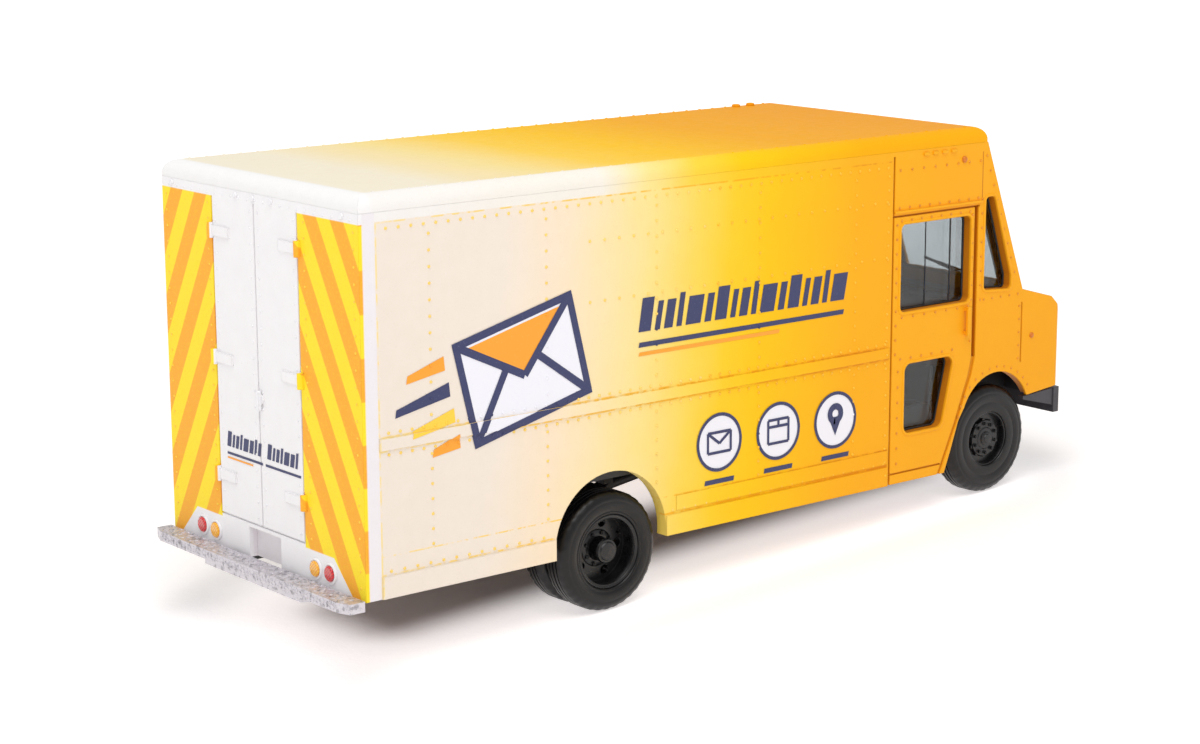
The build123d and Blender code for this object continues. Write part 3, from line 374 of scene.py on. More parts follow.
def tread_metal(name):
    """Cast bright metal plate with dull hollows, a brushed run along y and scuffs."""
    s = Shader(name)
    where, x, y, z = s.place()
    stretch = s.node("ShaderNodeMapping")
    s.feed(stretch.inputs["Vector"], where)
    stretch.inputs["Scale"].default_value = (3.0, 0.5, 3.0)
    brushed = s.noise(stretch.outputs[0], 3.0, 4.0, 0.7)
    pits = s.step(s.noise(where, 2.2, 4.0, 0.7), 0.50, 0.66)
    colour = s.mix(brushed, lin(184, 181, 189), lin(234, 230, 235))
    s.set("Base Color", s.mix(s.math("MULTIPLY", pits, 0.6), colour, lin(96, 94, 100)))
    s.set("Metallic", 0.60)
    s.set("Roughness", s.math("MULTIPLY_ADD", brushed, 0.25, 0.28))
    return s.surface(s.math("ADD", brushed, pits), 0.35, 0.04, bevel=0.05)


FRONT_AXLE = Vector((FRONT_X, 0, AXLE_Z))
REAR_AXLE = Vector((REAR_X, 0, AXLE_Z))
SHELL = printed_plastic("printed_shell")
ROOF = printed_plastic("printed_roof", roof=True)
RIVET = moulded("rivet_ink", (246, 204, 84), (250, 216, 120), 0.4)
# Painted shade: the cab rivets get a darker orange than the skin around them, standing in for the shade on their
# small heads.
RIVET_SHADED_FRONT = moulded("rivet_orange_painted_shade", (206, 122, 8), (234, 156, 24), 0.4)
RIVET_MID = moulded("rivet_gold", (240, 178, 12), (250, 194, 40), 0.4)
RIVET_REAR = moulded("rivet_pale", (228, 228, 232), (240, 240, 242), 0.4)
NAVY = ink("ink_navy", (46, 52, 96), (104, 108, 142))
ORANGE = ink("ink_orange", (246, 160, 32), (250, 190, 90))
AMBER = ink("ink_yellow", (252, 206, 60), (252, 224, 130))
PALE = ink("ink_white", (236, 236, 244), (222, 222, 236))
CHASSIS = moulded("chassis_black", (24, 24, 26), (36, 35, 36), 0.5, 0.2, 3.0, 0.25)
CABIN = moulded("interior_grey", (70, 70, 74), (92, 92, 96), 0.55, 0.2, 3.0, 0.25)
SEAT = moulded("seat_vinyl", (46, 46, 50), (66, 66, 70), 0.5, 0.25, 2.2, 0.5)
BUMPER = moulded("bumper_grey", (44, 43, 48), (64, 62, 68), 0.42, 0.2, 3.0, 0.2)
SILVER = tread_metal("bumper_silver")
STEEL = moulded("axle_steel", (128, 128, 132), (168, 168, 170), 0.32, 0.15, 5.0, 0.2, metallic=0.9)
RIM_FRONT, RIM_REAR = (
    moulded("rim_black_" + word, (9, 9, 10), (20, 19, 21), 0.3, 0.2, 3.0, 0.2, bevel=0.05, origin=axle)
    for word, axle in (("front", FRONT_AXLE), ("rear", REAR_AXLE)))
TYRE_FRONT = rubber("tyre_rubber_front", FRONT_AXLE)
TYRE_REAR = rubber("tyre_rubber_rear", REAR_AXLE)
RED = lens("red_lens", (228, 8, 24), (186, 2, 12), 22.0)
YELLOW = lens("amber_lens", (255, 196, 20), (246, 158, 4), 22.0)
WHITE_LENS = lens("clear_lens", (226, 230, 234), (176, 182, 190), 14.0)
GLASS = clear_plastic("clear_glazing")
# Painted shade: the side and front marker bumps are body-coloured; this darker orange-brown stands in for the
# shade on them.
MARKER_SHADED = moulded("marker_orange_painted_shade", (196, 104, 8), (214, 124, 22), 0.34)
GASKET = moulded("gasket_black", (22, 22, 24), (36, 36, 38), 0.5, 0.2, 6.0, 0.2)

FINISH = {
    "printed_shell": SHELL, "roof_plastic": ROOF, "clear_glazing": GLASS, "chassis_black": CHASSIS,
    "interior_grey": CABIN, "bumper_silver": SILVER, "bumper_grey": BUMPER, "red_lens": RED,
    "amber_lens": YELLOW,
    "clear_lens": WHITE_LENS, "tyre_rubber": TYRE_REAR, "rim_black": RIM_REAR, "axle_steel": STEEL,
}
for part in frame["record"]["subparts"]:
    node = frame["nodes"][part["node"]]
    node.data.materials.clear()
    finish = FINISH[part["material_slot"]]
    if part["node"].startswith("front_") and finish in (TYRE_REAR, RIM_REAR):
        finish = TYRE_FRONT if finish is TYRE_REAR else RIM_FRONT
    if part["node"] in ("rear_marker_lamps", "rear_latch"):
        finish = RIVET_REAR
    if part["node"] == "front_marker_lamps":
        finish = MARKER_SHADED
    node.data.materials.append(finish.mat)


# ---- mesh helpers --------------------------------------------------------------------------------
def piece(name, bm, shaders, body="van_body", level=True, smooth=False):
    """Turn a bmesh drawn in millimetres into a piece that rides on a body."""
    bmesh.ops.recalc_face_normals(bm, faces=bm.faces)
    mesh = bpy.data.meshes.new(name)
    bm.to_mesh(mesh)
    bm.free()
    mesh.transform(TO_ROW if level else Matrix.Scale(MM, 4))
    for shader in shaders:
        mesh.materials.append(shader.mat)
    if smooth:
        mesh.polygons.foreach_set("use_smooth", [True] * len(mesh.polygons))
    obj = bpy.data.objects.new(name, mesh)
    bpy.context.scene.collection.objects.link(obj)
    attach(obj, body)
    return obj


def loop(bm, points):
    return [bm.verts.new(p) for p in points]


def bridge(bm, first, second, closed=True, index=0):
    count = len(first)
    for i in range(count if closed else count - 1):
        j = (i + 1) % count
        bm.faces.new((first[i], first[j], second[j], second[i])).material_index = index


def prism(bm, outline, low, high, axis="y", index=0, taper=0.0):
    """Closed prism from a 2-D outline. Axis y reads it as x, z; x as y, z; z as x, y."""
    def at(p, q):
        return {"y": (p[0], q, p[1]), "x": (q, p[0], p[1]), "z": (p[0], p[1], q)}[axis]
    cx = sum(p[0] for p in outline) / len(outline)
    cz = sum(p[1] for p in outline) / len(outline)
    drawn = [(cx + (p[0] - cx) * (1 - taper), cz + (p[1] - cz) * (1 - taper)) for p in outline]
    first = loop(bm, [at(p, low) for p in outline])
    second = loop(bm, [at(p, high) for p in drawn])
    bridge(bm, first, second, index=index)
    bm.faces.new(first[::-1]).material_index = index
    bm.faces.new(second).material_index = index


def rounded(points, radius, steps=5):
    """Round the corners of a convex outline."""
    out = []
    count = len(points)
    for i in range(count):
        before, here, after = (Vector(points[k % count]) for k in (i - 1, i, i + 1))
        u, v = (before - here).normalized(), (after - here).normalized()
        half = u.angle(v) / 2
        reach = radius / math.tan(half)
        centre = here + (u + v).normalized() * (radius / math.sin(half))
        a, b = here + u * reach - centre, here + v * reach - centre
        for k in range(steps + 1):
            swing = a.lerp(b, k / steps).normalized() * radius
            out.append(tuple(centre + swing))
    return out


def grown(points, by):
    """A convex outline moved outwards by a distance."""
    area = sum(a[0] * b[1] - b[0] * a[1] for a, b in zip(points, points[1:] + points[:1]))
    turn = 1 if area > 0 else -1
    out = []
    count = len(points)
    for i in range(count):
        before, here, after = (Vector(points[k % count]) for k in (i - 1, i, i + 1))
        d1, d2 = (here - before).normalized(), (after - here).normalized()
        n1, n2 = Vector((d1.y, -d1.x)) * turn, Vector((d2.y, -d2.x)) * turn
        mid = (n1 + n2).normalized()
        out.append(tuple(here + mid * (by / max(0.3, mid.dot(n1)))))
    return out


def frame_ring(bm, outline, inner, outer, back, front, side, index=0):
    """A raised rounded frame around an opening on one side wall."""
    ins, outs = grown(outline, inner), grown(outline, outer)
    mid_in, mid_out = grown(outline, inner + 0.05), grown(outline, outer - 0.07)
    section = ((ins, back), (ins, front - 0.04), (mid_in, front), (mid_out, front), (outs, front - 0.06),
               (outs, back))
    rows = [loop(bm, [(p[0], side * y, p[1]) for p in ring]) for ring, y in section]
    for first, second in zip(rows, rows[1:] + rows[:1]):
        bridge(bm, first, second, index=index)


def dome(bm, centre, normal, radius, height, sides=8, index=0, shoulder=0.55):
    """A low round head standing on a surface."""
    turn = Vector((0, 0, 1)).rotation_difference(Vector(normal)).to_matrix()
    rings = []
    for r, h in ((1.0, -0.02), (0.92, shoulder * height), (0.55, 0.92 * height)):
        ring = [Vector(centre) + turn @ Vector((r * radius * math.cos(a), r * radius * math.sin(a), h))
                for a in (2 * math.pi * k / sides for k in range(sides))]
        rings.append(loop(bm, ring))
    for first, second in zip(rings, rings[1:]):
        bridge(bm, first, second, index=index)
    top = bm.verts.new(Vector(centre) + turn @ Vector((0, 0, height)))
    for k in range(sides):
        bm.faces.new((rings[-1][k], rings[-1][(k + 1) % sides], top)).material_index = index


def lathe(bm, profile, steps, centre=(0, 0, 0), shape=None, index=0, closed=True):
    """Turn a profile of (radius, y) about the y axis. shape(radius, y, step) may change the radius."""
    rows = []
    for k in range(steps):
        a = 2 * math.pi * k / steps
        row = []
        for r, y in profile:
            rr = shape(r, y, k) if shape else r
            row.append((centre[0] + rr * math.cos(a), centre[1] + y, centre[2] + rr * math.sin(a)))
        rows.append(loop(bm, row))
    for k in range(steps):
        bridge(bm, rows[k], rows[(k + 1) % steps], closed=closed, index=index)


def steps_between(start, end, pitch):
    count = max(1, round(abs(end - start) / pitch))
    return [start + (end - start) * k / count for k in range(count + 1)]


# ---- tyres and wheels ----------------------------------------------------------------------------
def tyre(name, node, body, axle, side, shader, front=False, steps=144):
    """Lathe-turned tyre with bead ring, bulged walls, grooved tread and shoulder lugs."""
    low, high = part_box(node)
    y_mid, half = (low.y + high.y) / 2 / MM, (high.y - low.y) / 2 / MM
    radius = (high.z - low.z) / 2 / MM
    k = half / 1.275
    bead = [(3.05, 0.90), (3.09, 1.13), (3.17, 1.205), (3.27, 1.225)]
    if front:
        bead = [(2.70, 0.90), (2.56, 1.02), (2.46, 1.13), (2.50, 1.20), (2.62, 1.235), (3.24, 1.245)]
    dip = 0.03 * front
    wall = bead + [(3.33, 1.185 + dip), (3.38, 1.19 + dip), (3.44, 1.24), (3.75, 1.27), (4.08, 1.275),
                   (4.12, 1.255), (4.17, 1.255), (4.21, 1.265), (4.44, 1.215), (4.60, 1.13), (4.74, 1.02),
                   (4.84, 0.90), (4.90, 0.78), (4.93, 0.66)]
    tread = [(4.93, 0.50), (4.82, 0.47), (4.82, 0.39), (4.93, 0.36), (4.93, 0.10), (4.82, 0.07)]
    outer = [(r * radius / 4.93, y * k) for r, y in wall + tread]
    profile = outer + [(r, -y) for r, y in reversed(outer)]
    profile = [(r, side * y) for r, y in profile]

    def lugs(r, y, step):
        off = abs(y) / k
        if step % 4 < 2 and 0.60 < off < 1.15 and r > 4.5:
            return r - 0.04 * min(1.0, (off - 0.58) * 8)
        return r

    bm = bmesh.new()
    lathe(bm, profile, steps, centre=(axle.x, y_mid, axle.z), shape=lugs)
    obj = piece(name, bm, [shader], body, level=False, smooth=True)
    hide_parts(node)
    obj.data.set_sharp_from_angle(angle=math.radians(38))
    return obj


def rim_trim(name, node, body, axle, side, shader, rear):
    """Rolled rim lip, nut ring with hexagonal nuts, and a stepped centre cap on one wheel's face."""
    low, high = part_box(node)
    face = (high.y if side > 0 else -low.y) / MM
    bm = bmesh.new()
    centre = (axle.x, 0, axle.z)
    if rear:
        disc, ring_r, nuts, size, base = face - 1.5, 1.30, 8, 0.17, face - 1.40
        lip = [(3.06, face - 0.10), (3.05, face + 0.05), (2.97, face + 0.10), (2.86, face + 0.06),
               (2.74, face - 0.08), (2.66, face - 0.40), (2.72, face - 0.44)]
        cap = [(0.97, disc + 0.9), (1.01, face - 0.32), (0.93, face - 0.18), (0.78, face - 0.13),
               (0.70, face - 0.02), (0.42, face + 0.03), (0.0001, face + 0.05)]
        flange = [(1.52, disc - 0.05), (1.54, disc + 0.06), (1.46, disc + 0.12), (1.0, disc + 0.14),
                  (0.94, disc + 0.30)]
    else:
        disc, ring_r, nuts, size, base = face - 0.45, 1.34, 10, 0.17, face - 0.20
        lip = [(2.62, face - 0.20), (2.50, face + 0.01), (2.42, face + 0.05), (2.34, face + 0.02),
               (2.28, face - 0.14), (2.24, face - 0.90), (2.40, face - 0.92)]
        cap = [(0.62, face - 0.14), (0.62, face - 0.02), (0.54, face + 0.04), (0.40, face + 0.05),
               (0.36, face + 0.11), (0.0001, face + 0.13)]
        flange = [(2.26, face - 0.95), (1.90, face - 0.92), (1.76, face - 0.80), (1.70, face - 0.34),
                  (1.62, face - 0.22), (1.02, face - 0.20), (0.92, face - 0.12), (0.60, face - 0.10)]
    lathe(bm, [(r, side * y) for r, y in lip], 72, centre)
    for profile in (cap, flange):
        lathe(bm, [(r, side * y) for r, y in profile], 48, centre, closed=False)
    for n in range(nuts):
        a = 2 * math.pi * (n + 0.5) / nuts
        cx, cz = axle.x + ring_r * math.cos(a), axle.z + ring_r * math.sin(a)
        turns = [a + math.pi * q / 3 for q in range(6)]
        hexagon = [(cx + size * math.cos(t), cz + size * math.sin(t)) for t in turns]
        ends = sorted((side * (base - 0.05), side * (base + 0.20)))
        prism(bm, hexagon, *ends)
        dome(bm, (cx, side * (base + 0.19), cz), (0, side, 0), size * 0.6, 0.09, 8)
    a = 0.35
    stem = (axle.x + 2.35 * math.cos(a), side * (disc + 0.05), axle.z + 2.35 * math.sin(a))
    dome(bm, stem, (0, side, 0), 0.10, 0.42, 8, shoulder=0.8)
    obj = piece(name, bm, [shader], body, level=False, smooth=True)
    obj.data.set_sharp_from_angle(angle=math.radians(35))
    return obj


for side, word in ((1, "left"), (-1, "right")):
    tyre("tyre_front_" + word, "front_tyre_" + word, "front_wheelset", FRONT_AXLE, side, TYRE_FRONT, True)
    for place in ("outer", "inner"):
        node = "rear_tyre_" + word + "_" + place
        tyre("tyre_rear_" + place + "_" + word, node, "rear_wheelset", REAR_AXLE, side, TYRE_REAR)
    for name, axle, finish in (("front", FRONT_AXLE, RIM_FRONT), ("rear", REAR_AXLE, RIM_REAR)):
        node = name + "_rim_" + word
        rim_trim("wheel_trim_" + name + "_" + word, node, name + "_wheelset", axle, side, finish, name == "rear")


# ---- printed graphics ----------------------------------------------------------------------------
def quad_line(start, end, width):
    a, b = Vector(start), Vector(end)
    n = (b - a).normalized()
    n = Vector((-n.y, n.x)) * (width / 2)
    return [tuple(a + n), tuple(b + n), tuple(b - n), tuple(a - n)]


def disc(cx, cz, radius, steps=40):
    return [(cx + radius * math.cos(2 * math.pi * k / steps), cz + radius * math.sin(2 * math.pi * k / steps))
            for k in range(steps)]


def band_ring(cx, cz, inner, outer, steps=48):
    quads = []
    for k in range(steps):
        a, b = 2 * math.pi * k / steps, 2 * math.pi * (k + 1) / steps
        quads.append([(cx + r * math.cos(t), cz + r * math.sin(t)) for r, t in
                      ((inner, a), (outer, a), (outer, b), (inner, b))])
    return quads


def turned(shapes, angle, centre):
    c, s = math.cos(math.radians(angle)), math.sin(math.radians(angle))
    return [[(centre[0] + c * u - s * v, centre[1] + s * u + c * v) for u, v in shape] for shape in shapes]


def emblem():
    """A tilted envelope with a coloured flap and speed bars behind it."""
    w, h = 5.6, 4.0
    cream = [[(-w, -h), (w, -h), (w, h), (-w, h)]]
    flap = [[(-w + 0.6, h - 0.5), (w - 0.6, h - 0.5), (0, -0.2)]]
    lines = [quad_line(*ends, 0.62) for ends in (
        ((-w - 0.3, -h), (w + 0.3, -h)), ((-w - 0.3, h), (w + 0.3, h)),
        ((-w, -h), (-w, h)), ((w, -h), (w, h)), ((-w, h), (0, -0.5)), ((w, h), (0, -0.5)),
        ((-w, -h), (-1.6, 0.6)), ((w, -h), (1.6, 0.6)))]
    bars = {"navy": [], "orange": [], "yellow": []}
    rows = ((3.2, 3.4, "orange"), (1.1, 5.0, "navy"), (-1.0, 4.0, "yellow"), (-3.1, 2.6, "orange"))
    for v, length, tone in rows:
        lean = 0.3 * v
        start, end = -6.9 + lean * 0.1, -6.9 - length
        tail = [(end, v + 0.28), (end - 0.25, v - 0.28)]
        bars[tone].append([(start, v + 0.55), *tail, (-7.05 + lean * 0.1, v - 0.55)])
    return cream, flap, lines, bars


def bar_row(x0, x1, z0, z1, widths, gap, lean):
    bars, x, k = [], x0, 0
    while x < x1 - widths[k % len(widths)]:
        w = widths[k % len(widths)]
        top = z1 if k % 3 else z1 + (z1 - z0) * 0.18
        bars.append([(x, z0), (x + w, z0), (x + w + lean, top), (x + lean, top)])
        x += w + gap
        k += 1
    return bars


def line_icon(cx, cz, w, h, extra):
    """A box in thin lines with more lines across it."""
    box = [((-w, -h), (w, -h)), ((-w, h), (w, h)), ((-w, -h), (-w, h)), ((w, -h), (w, h))]
    return [[(cx + u, cz + v) for u, v in quad_line(*pair, 0.24)] for pair in box + extra]


def envelope_icon(cx, cz):
    w, h = 1.25, 0.85
    return line_icon(cx, cz, w, h, [((-w, h), (0, -0.1)), ((w, h), (0, -0.1))])


def parcel_icon(cx, cz):
    w, h = 1.15, 1.0
    return line_icon(cx, cz, w, h, [((-w, 0.42), (w, 0.42)), ((0, 0.42), (0, h))])


def pin_icon(cx, cz):
    tip = [(cx - 0.78, cz + 0.28), (cx + 0.78, cz + 0.28), (cx, cz - 1.35)]
    return [tip] + band_ring(cx, cz + 0.55, 0.36, 0.92, 24)


def side_graphics():
    """Ink shapes for one side, by ink and by height above the skin."""
    layers = {"pale": [], "navy": [], "orange": [], "yellow": [], "over_navy": []}
    cream, flap, lines, bars = emblem()
    centre, tilt = (14.9, 21.2), 14
    layers["pale"] += turned(cream, tilt, centre)
    layers["orange"] += turned(flap, tilt, centre)
    layers["over_navy"] += turned(lines, tilt, centre)
    for tone, shapes in bars.items():
        layers[tone] += turned(shapes, tilt, centre)
    layers["navy"] += bar_row(26.4, 49.2, 22.6, 24.9, (1.25, 0.55, 0.9, 0.55, 1.6, 0.7), 0.42, 0.45)
    layers["navy"].append([(26.4, 21.35), (49.0, 21.35), (49.1, 21.75), (26.5, 21.75)])
    layers["orange"].append([(26.4, 20.65), (41.6, 20.65), (41.7, 20.95), (26.5, 20.95)])
    for x, z, icon in ((35.04, 12.35, envelope_icon), (41.64, 12.3, parcel_icon), (48.26, 12.25, pin_icon)):
        layers["pale"].append(disc(x, z, 2.3))
        layers["over_navy"] += band_ring(x, z, 2.2, 2.48) + icon(x, z)
        layers["navy"].append([(x - 1.6, 8.86), (x + 1.6, 8.86), (x + 1.68, 9.26), (x - 1.52, 9.26)])
    return layers


INKS = {"pale": (PALE, 0.020), "navy": (NAVY, 0.032), "orange": (ORANGE, 0.026), "yellow": (AMBER, 0.029),
        "over_navy": (NAVY, 0.042)}


def apply_side_graphics():
    for side, word in ((-1, "right"), (1, "left")):
        bm = bmesh.new()
        for number, (layer, shapes) in enumerate(side_graphics().items()):
            flat = bmesh.new()
            for k, shape in enumerate(shapes):
                lift = 0.0018 * (k % 9) if layer == "over_navy" else 0.0
                flat.faces.new([flat.verts.new((x, lift, z)) for x, z in shape])
            for z in BELT[:2]:
                geom = flat.verts[:] + flat.edges[:] + flat.faces[:]
                bmesh.ops.bisect_plane(flat, geom=geom, plane_co=(0, 0, z), plane_no=(0, 0, 1))
            for face in flat.faces:
                z_mid = face.calc_center_median().z
                proud = BELT[2] if BELT[0] < z_mid < BELT[1] else 0.0
                y = HALF + proud + INKS[layer][1]
                made = bm.faces.new([bm.verts.new((v.co.x, side * (y + v.co.y), v.co.z)) for v in face.verts])
                made.material_index = number
            flat.free()
        shaders = [INKS[layer][0] for layer in INKS]
        piece("graphics_" + word, bm, shaders)


def apply_rear_graphics():
    """The small printed panel across the two rear doors, clear of their seam."""
    bm = bmesh.new()
    shapes = [(s, 0) for s in bar_row(-5.2, -0.1, 13.95, 15.0, (0.55, 0.3, 0.42, 0.3, 0.7), 0.2, 0.2)]
    shapes += [(s, 0) for s in bar_row(0.7, 5.4, 13.95, 15.0, (0.55, 0.3, 0.42, 0.3, 0.7), 0.2, 0.2)]
    shapes += [([(-5.2, 13.3), (0.05, 13.3), (0.05, 13.5), (-5.2, 13.5)], 0),
               ([(0.45, 13.3), (5.5, 13.3), (5.5, 13.5), (0.45, 13.5)], 0),
               ([(-5.2, 12.95), (-1.4, 12.95), (-1.4, 13.1), (-5.2, 13.1)], 1)]
    for shape, index in shapes:
        bm.faces.new([bm.verts.new((-0.03, -y, z)) for y, z in shape]).material_index = index
    piece("graphics_rear", bm, [NAVY, ORANGE])


apply_side_graphics()
apply_rear_graphics()


# ---- rivets --------------------------------------------------------------------------------------
def clear_of_arches(x, z):
    rear = math.hypot(x - REAR_ARCH[0], z - REAR_ARCH[1]) > REAR_ARCH[2] + 0.3
    front = math.hypot(x - FRONT_ARCH[0], z - FRONT_ARCH[1]) > FRONT_ARCH[2] + 0.25
    return rear and front


def side_rivets():
    """Rivet places (x, z, radius) on one side of the body."""
    spots = []
    last = CARGO_END - 0.7
    rows = ((33.35, 2.4, 1.12), (30.4, 21.5, 1.5), (25.6, 21.5, 1.5), (18.05, 2.3, 1.05), (16.4, 2.3, 1.05),
            (7.45, 2.3, 1.2))
    for z, x0, pitch in rows:
        spots += [(x, z, 0.115) for x in steps_between(x0, last, pitch)]
    for x in (6.2, 17.2, 28.3, 39.4, 50.4):
        spots += [(x, z, 0.11) for z in steps_between(8.9, 15.9, 1.1) + steps_between(18.9, 32.6, 1.25)]
    for z in steps_between(6.4, 32.6, 1.2):
        spots.append((CARGO_END - 0.55, z, 0.11))
    for x in (55.35, 64.76):
        spots += [(x, z, 0.11) for z in steps_between(17.0, 28.3, 1.25)]
    spots += [(x, 28.62, 0.11) for x in steps_between(55.9, 64.4, 1.2)]
    spots += [(x, 20.15, 0.11) for x in steps_between(56.1, 64.4, 1.35)]
    spots += [(x, 16.5, 0.11) for x in steps_between(56.0, 62.5, 1.3)]
    spots += [(55.75, z, 0.11) for z in steps_between(7.2, 15.4, 1.35)]
    spots += [(x, 29.75, 0.11) for x in steps_between(55.6, 65.4, 1.3)]
    spots += [(x, 33.0, 0.11) for x in steps_between(55.6, 65.6, 1.4)]
    spots += [(65.95, z, 0.10) for z in steps_between(20.6, 29.6, 1.3)]
    spots += [(x, 20.55, 0.10) for x in steps_between(66.4, 70.9, 1.15)]
    spots += [(screen_x(z) - 0.55, z, 0.10) for z in steps_between(22.6, 33.4, 1.3)]
    for a in steps_between(34, 168, 11):
        reach = FRONT_ARCH[2] + 0.48
        spots.append((FRONT_ARCH[0] + reach * math.cos(math.radians(a)),
                      FRONT_ARCH[1] + reach * math.sin(math.radians(a)), 0.10))
    spots += [(71.15, z, 0.10) for z in steps_between(14.6, 19.4, 1.2)]
    return [s for s in spots if clear_of_arches(s[0], s[1])]


def holds(shape, x, z):
    """Whether a point lies inside a polygon."""
    inside = False
    for (x0, z0), (x1, z1) in zip(shape, shape[1:] + shape[:1]):
        if (z0 > z) != (z1 > z) and x < (x1 - x0) * (z - z0) / (z1 - z0) + x0:
            inside = not inside
    return inside


def printed_over(x, z, graphics):
    """Material number of the topmost ink over a rivet, or 0."""
    found = 0
    for number, shapes in enumerate(graphics.values()):
        if any(holds(shape, x, z) for shape in shapes):
            found = number + 2
    return found


def rivets():
    for side, word in ((-1, "right"), (1, "left")):
        bm = bmesh.new()
        graphics = side_graphics()
        for x, z, radius in side_rivets():
            proud = BELT[2] if BELT[0] <= z <= BELT[1] and x < CARGO_END - 0.2 else 0.0
            if z < 7.1 and x < CARGO_END - 0.2:
                proud = 0.16
            # Cab rivets take material 1, the orange with painted shade.
            index = printed_over(x, z, graphics) or (0 if x < 34 else 7 if x < CARGO_END else 1)
            dome(bm, (x, side * (HALF + proud), z), (0, side, 0), radius * 1.15, 0.10, 8, index)
        shaders = [RIVET, RIVET_SHADED_FRONT, PALE, NAVY, ORANGE, AMBER, NAVY, RIVET_MID]
        piece("rivets_" + word, bm, shaders, smooth=True)
    bm = bmesh.new()
    columns = [(-13.35, 6.4, 33.2), (-6.75, 8.8, 33.2), (7.0, 8.8, 33.2), (13.35, 6.4, 33.2),
               (-0.35, 8.9, 33.2), (0.85, 8.9, 33.2), (-5.3, 8.9, 33.2), (5.85, 8.9, 33.2)]
    for y, z0, z1 in columns:
        pale = 1 if abs(y) < 6.3 else 0
        for z in steps_between(z0, z1, 1.25):
            dome(bm, (0, y, z), (-1, 0, 0), 0.11, 0.07, 8, pale if pale else 2)
    for y in steps_between(-12.9, 12.9, 1.2):
        dome(bm, (0, y, 34.05), (-1, 0, 0), 0.11, 0.06, 8, 1)
    piece("rivets_rear", bm, [RIVET, RIVET_REAR, AMBER], smooth=True)
    bm = bmesh.new()
    for y in (-13.0, 13.0):
        for x in steps_between(2.0, 64.5, 1.6):
            dome(bm, (x, y, ROOF_Z), (0, 0, 1), 0.12, 0.05, 8)
    piece("rivets_roof", bm, [ROOF], smooth=True)


rivets()


# ---- windows: frames, gaskets and hairlines --------------------------------------------------------
DOOR_WINDOW = rounded([(55.9, 20.6), (64.55, 20.6), (64.55, 28.26), (55.9, 28.26)], 0.5)
QUARTER_WINDOW = rounded([(66.4, 21.4), (69.9, 21.15), (69.9, 22.4), (67.55, 29.7), (66.45, 29.7)], 0.38)
KERB_WINDOW = rounded([(56.6, 9.75), (61.3, 9.75), (62.75, 15.95), (56.6, 15.95)], 0.7)

for side, word in ((-1, "right"), (1, "left")):
    bm = bmesh.new()
    windows = [DOOR_WINDOW, QUARTER_WINDOW] + ([KERB_WINDOW] if side < 0 else [])
    for outline in windows:
        frame_ring(bm, outline, 0.02, 0.30, HALF - 0.05, HALF + 0.07, side)
    piece("window_frames_" + word, bm, [SHELL])
    bm = bmesh.new()
    for outline in windows:
        frame_ring(bm, outline, -0.16, 0.0, INNER + 0.12, INNER + 0.34, side)
    glass_y = side * (INNER + 0.225)
    ends = sorted((glass_y, glass_y + side * 0.05))
    for x, width in ((59.7, 0.10), (62.75, 0.16)):
        prism(bm, [(x, 20.7), (x + width, 20.7), (x + width, 28.1), (x, 28.1)], *ends)
    piece("window_gaskets_" + word, bm, [GASKET])

# ---- side and header trim --------------------------------------------------------------------------
for side, word in ((-1, "right"), (1, "left")):
    bm = bmesh.new()
    # The marker bumps use the orange with painted shade.
    dome(bm, (63.5, side * HALF, 33.3), (0, side, 0), 0.30, 0.22, 14)
    dome(bm, (72.9, side * HALF, 16.5), (0, side, 0), 0.26, 0.18, 14)
    piece("side_markers_" + word, bm, [MARKER_SHADED], smooth=True)
    bm = bmesh.new()
    for x in steps_between(58.4, 61.8, 1.13):
        lip = rounded([(x, 34.02), (x + 0.62, 34.02), (x + 0.62, 34.32), (x, 34.32)], 0.08, 3)
        ends = sorted((side * (HALF - 0.02), side * (HALF + 0.14)))
        prism(bm, lip, *ends, taper=0.12 if side > 0 else 0.0)
    rail = rounded([(54.95, 29.3), (65.9, 29.3), (65.9, 29.52), (54.95, 29.52)], 0.09, 3)
    ends = sorted((side * (HALF - 0.02), side * (HALF + 0.16)))
    prism(bm, rail, *ends)
    piece("header_details_" + word, bm, [SHELL])

# ---- rear bumper tread and lamp bezels --------------------------------------------------------------
bm = bmesh.new()
BUMPER_TOP = 5.62
for row, x in enumerate((-1.62, -1.22, -0.82, -0.45)):
    for k, y in enumerate(steps_between(-13.2, 13.2, 0.62)):
        shift = 0.31 if row % 2 else 0.0
        a = math.radians(45 if (k + row) % 2 else -45)
        long, wide = 0.24, 0.07
        c, s = math.cos(a), math.sin(a)
        lozenge = [(x + c * u - s * v, y + shift + s * u + c * v) for u, v in
                   ((-long, 0), (-0.1, -wide), (0.1, -wide), (long, 0), (0.1, wide), (-0.1, wide))]
        prism(bm, lozenge, BUMPER_TOP - 0.02, BUMPER_TOP + 0.055, axis="z", taper=0.35)
for row, z in enumerate((5.02, 5.22, 5.42)):
    for k, y in enumerate(steps_between(-12.6, 12.6, 0.45)):
        a = math.radians(40 if (k + row) % 2 else -40)
        c, s = math.cos(a), math.sin(a)
        lozenge = [(y + c * u - s * v, z + s * u + c * v) for u, v in
                   ((-0.15, 0), (0, -0.045), (0.15, 0), (0, 0.045))]
        prism(bm, lozenge, -2.0 + 0.01, -2.0 - 0.045, axis="x", taper=0.3)
piece("bumper_tread", bm, [SILVER])

bm = bmesh.new()
for sign in (-1, 1):
    for y, z in ((9.3, 6.65), (7.3, 6.6)):
        ring = [(0.84, 0.0), (0.84, 0.12), (0.78, 0.17), (0.68, 0.17), (0.64, 0.12), (0.64, 0.0)]
        rows = []
        for k in range(32):
            a = 2 * math.pi * k / 32
            rows.append(loop(bm, [(-h, sign * y + r * math.cos(a), z + r * math.sin(a)) for r, h in ring]))
        for k in range(32):
            bridge(bm, rows[k], rows[(k + 1) % 32], closed=False)
piece("lamp_bezels", bm, [RIVET_REAR], smooth=True)

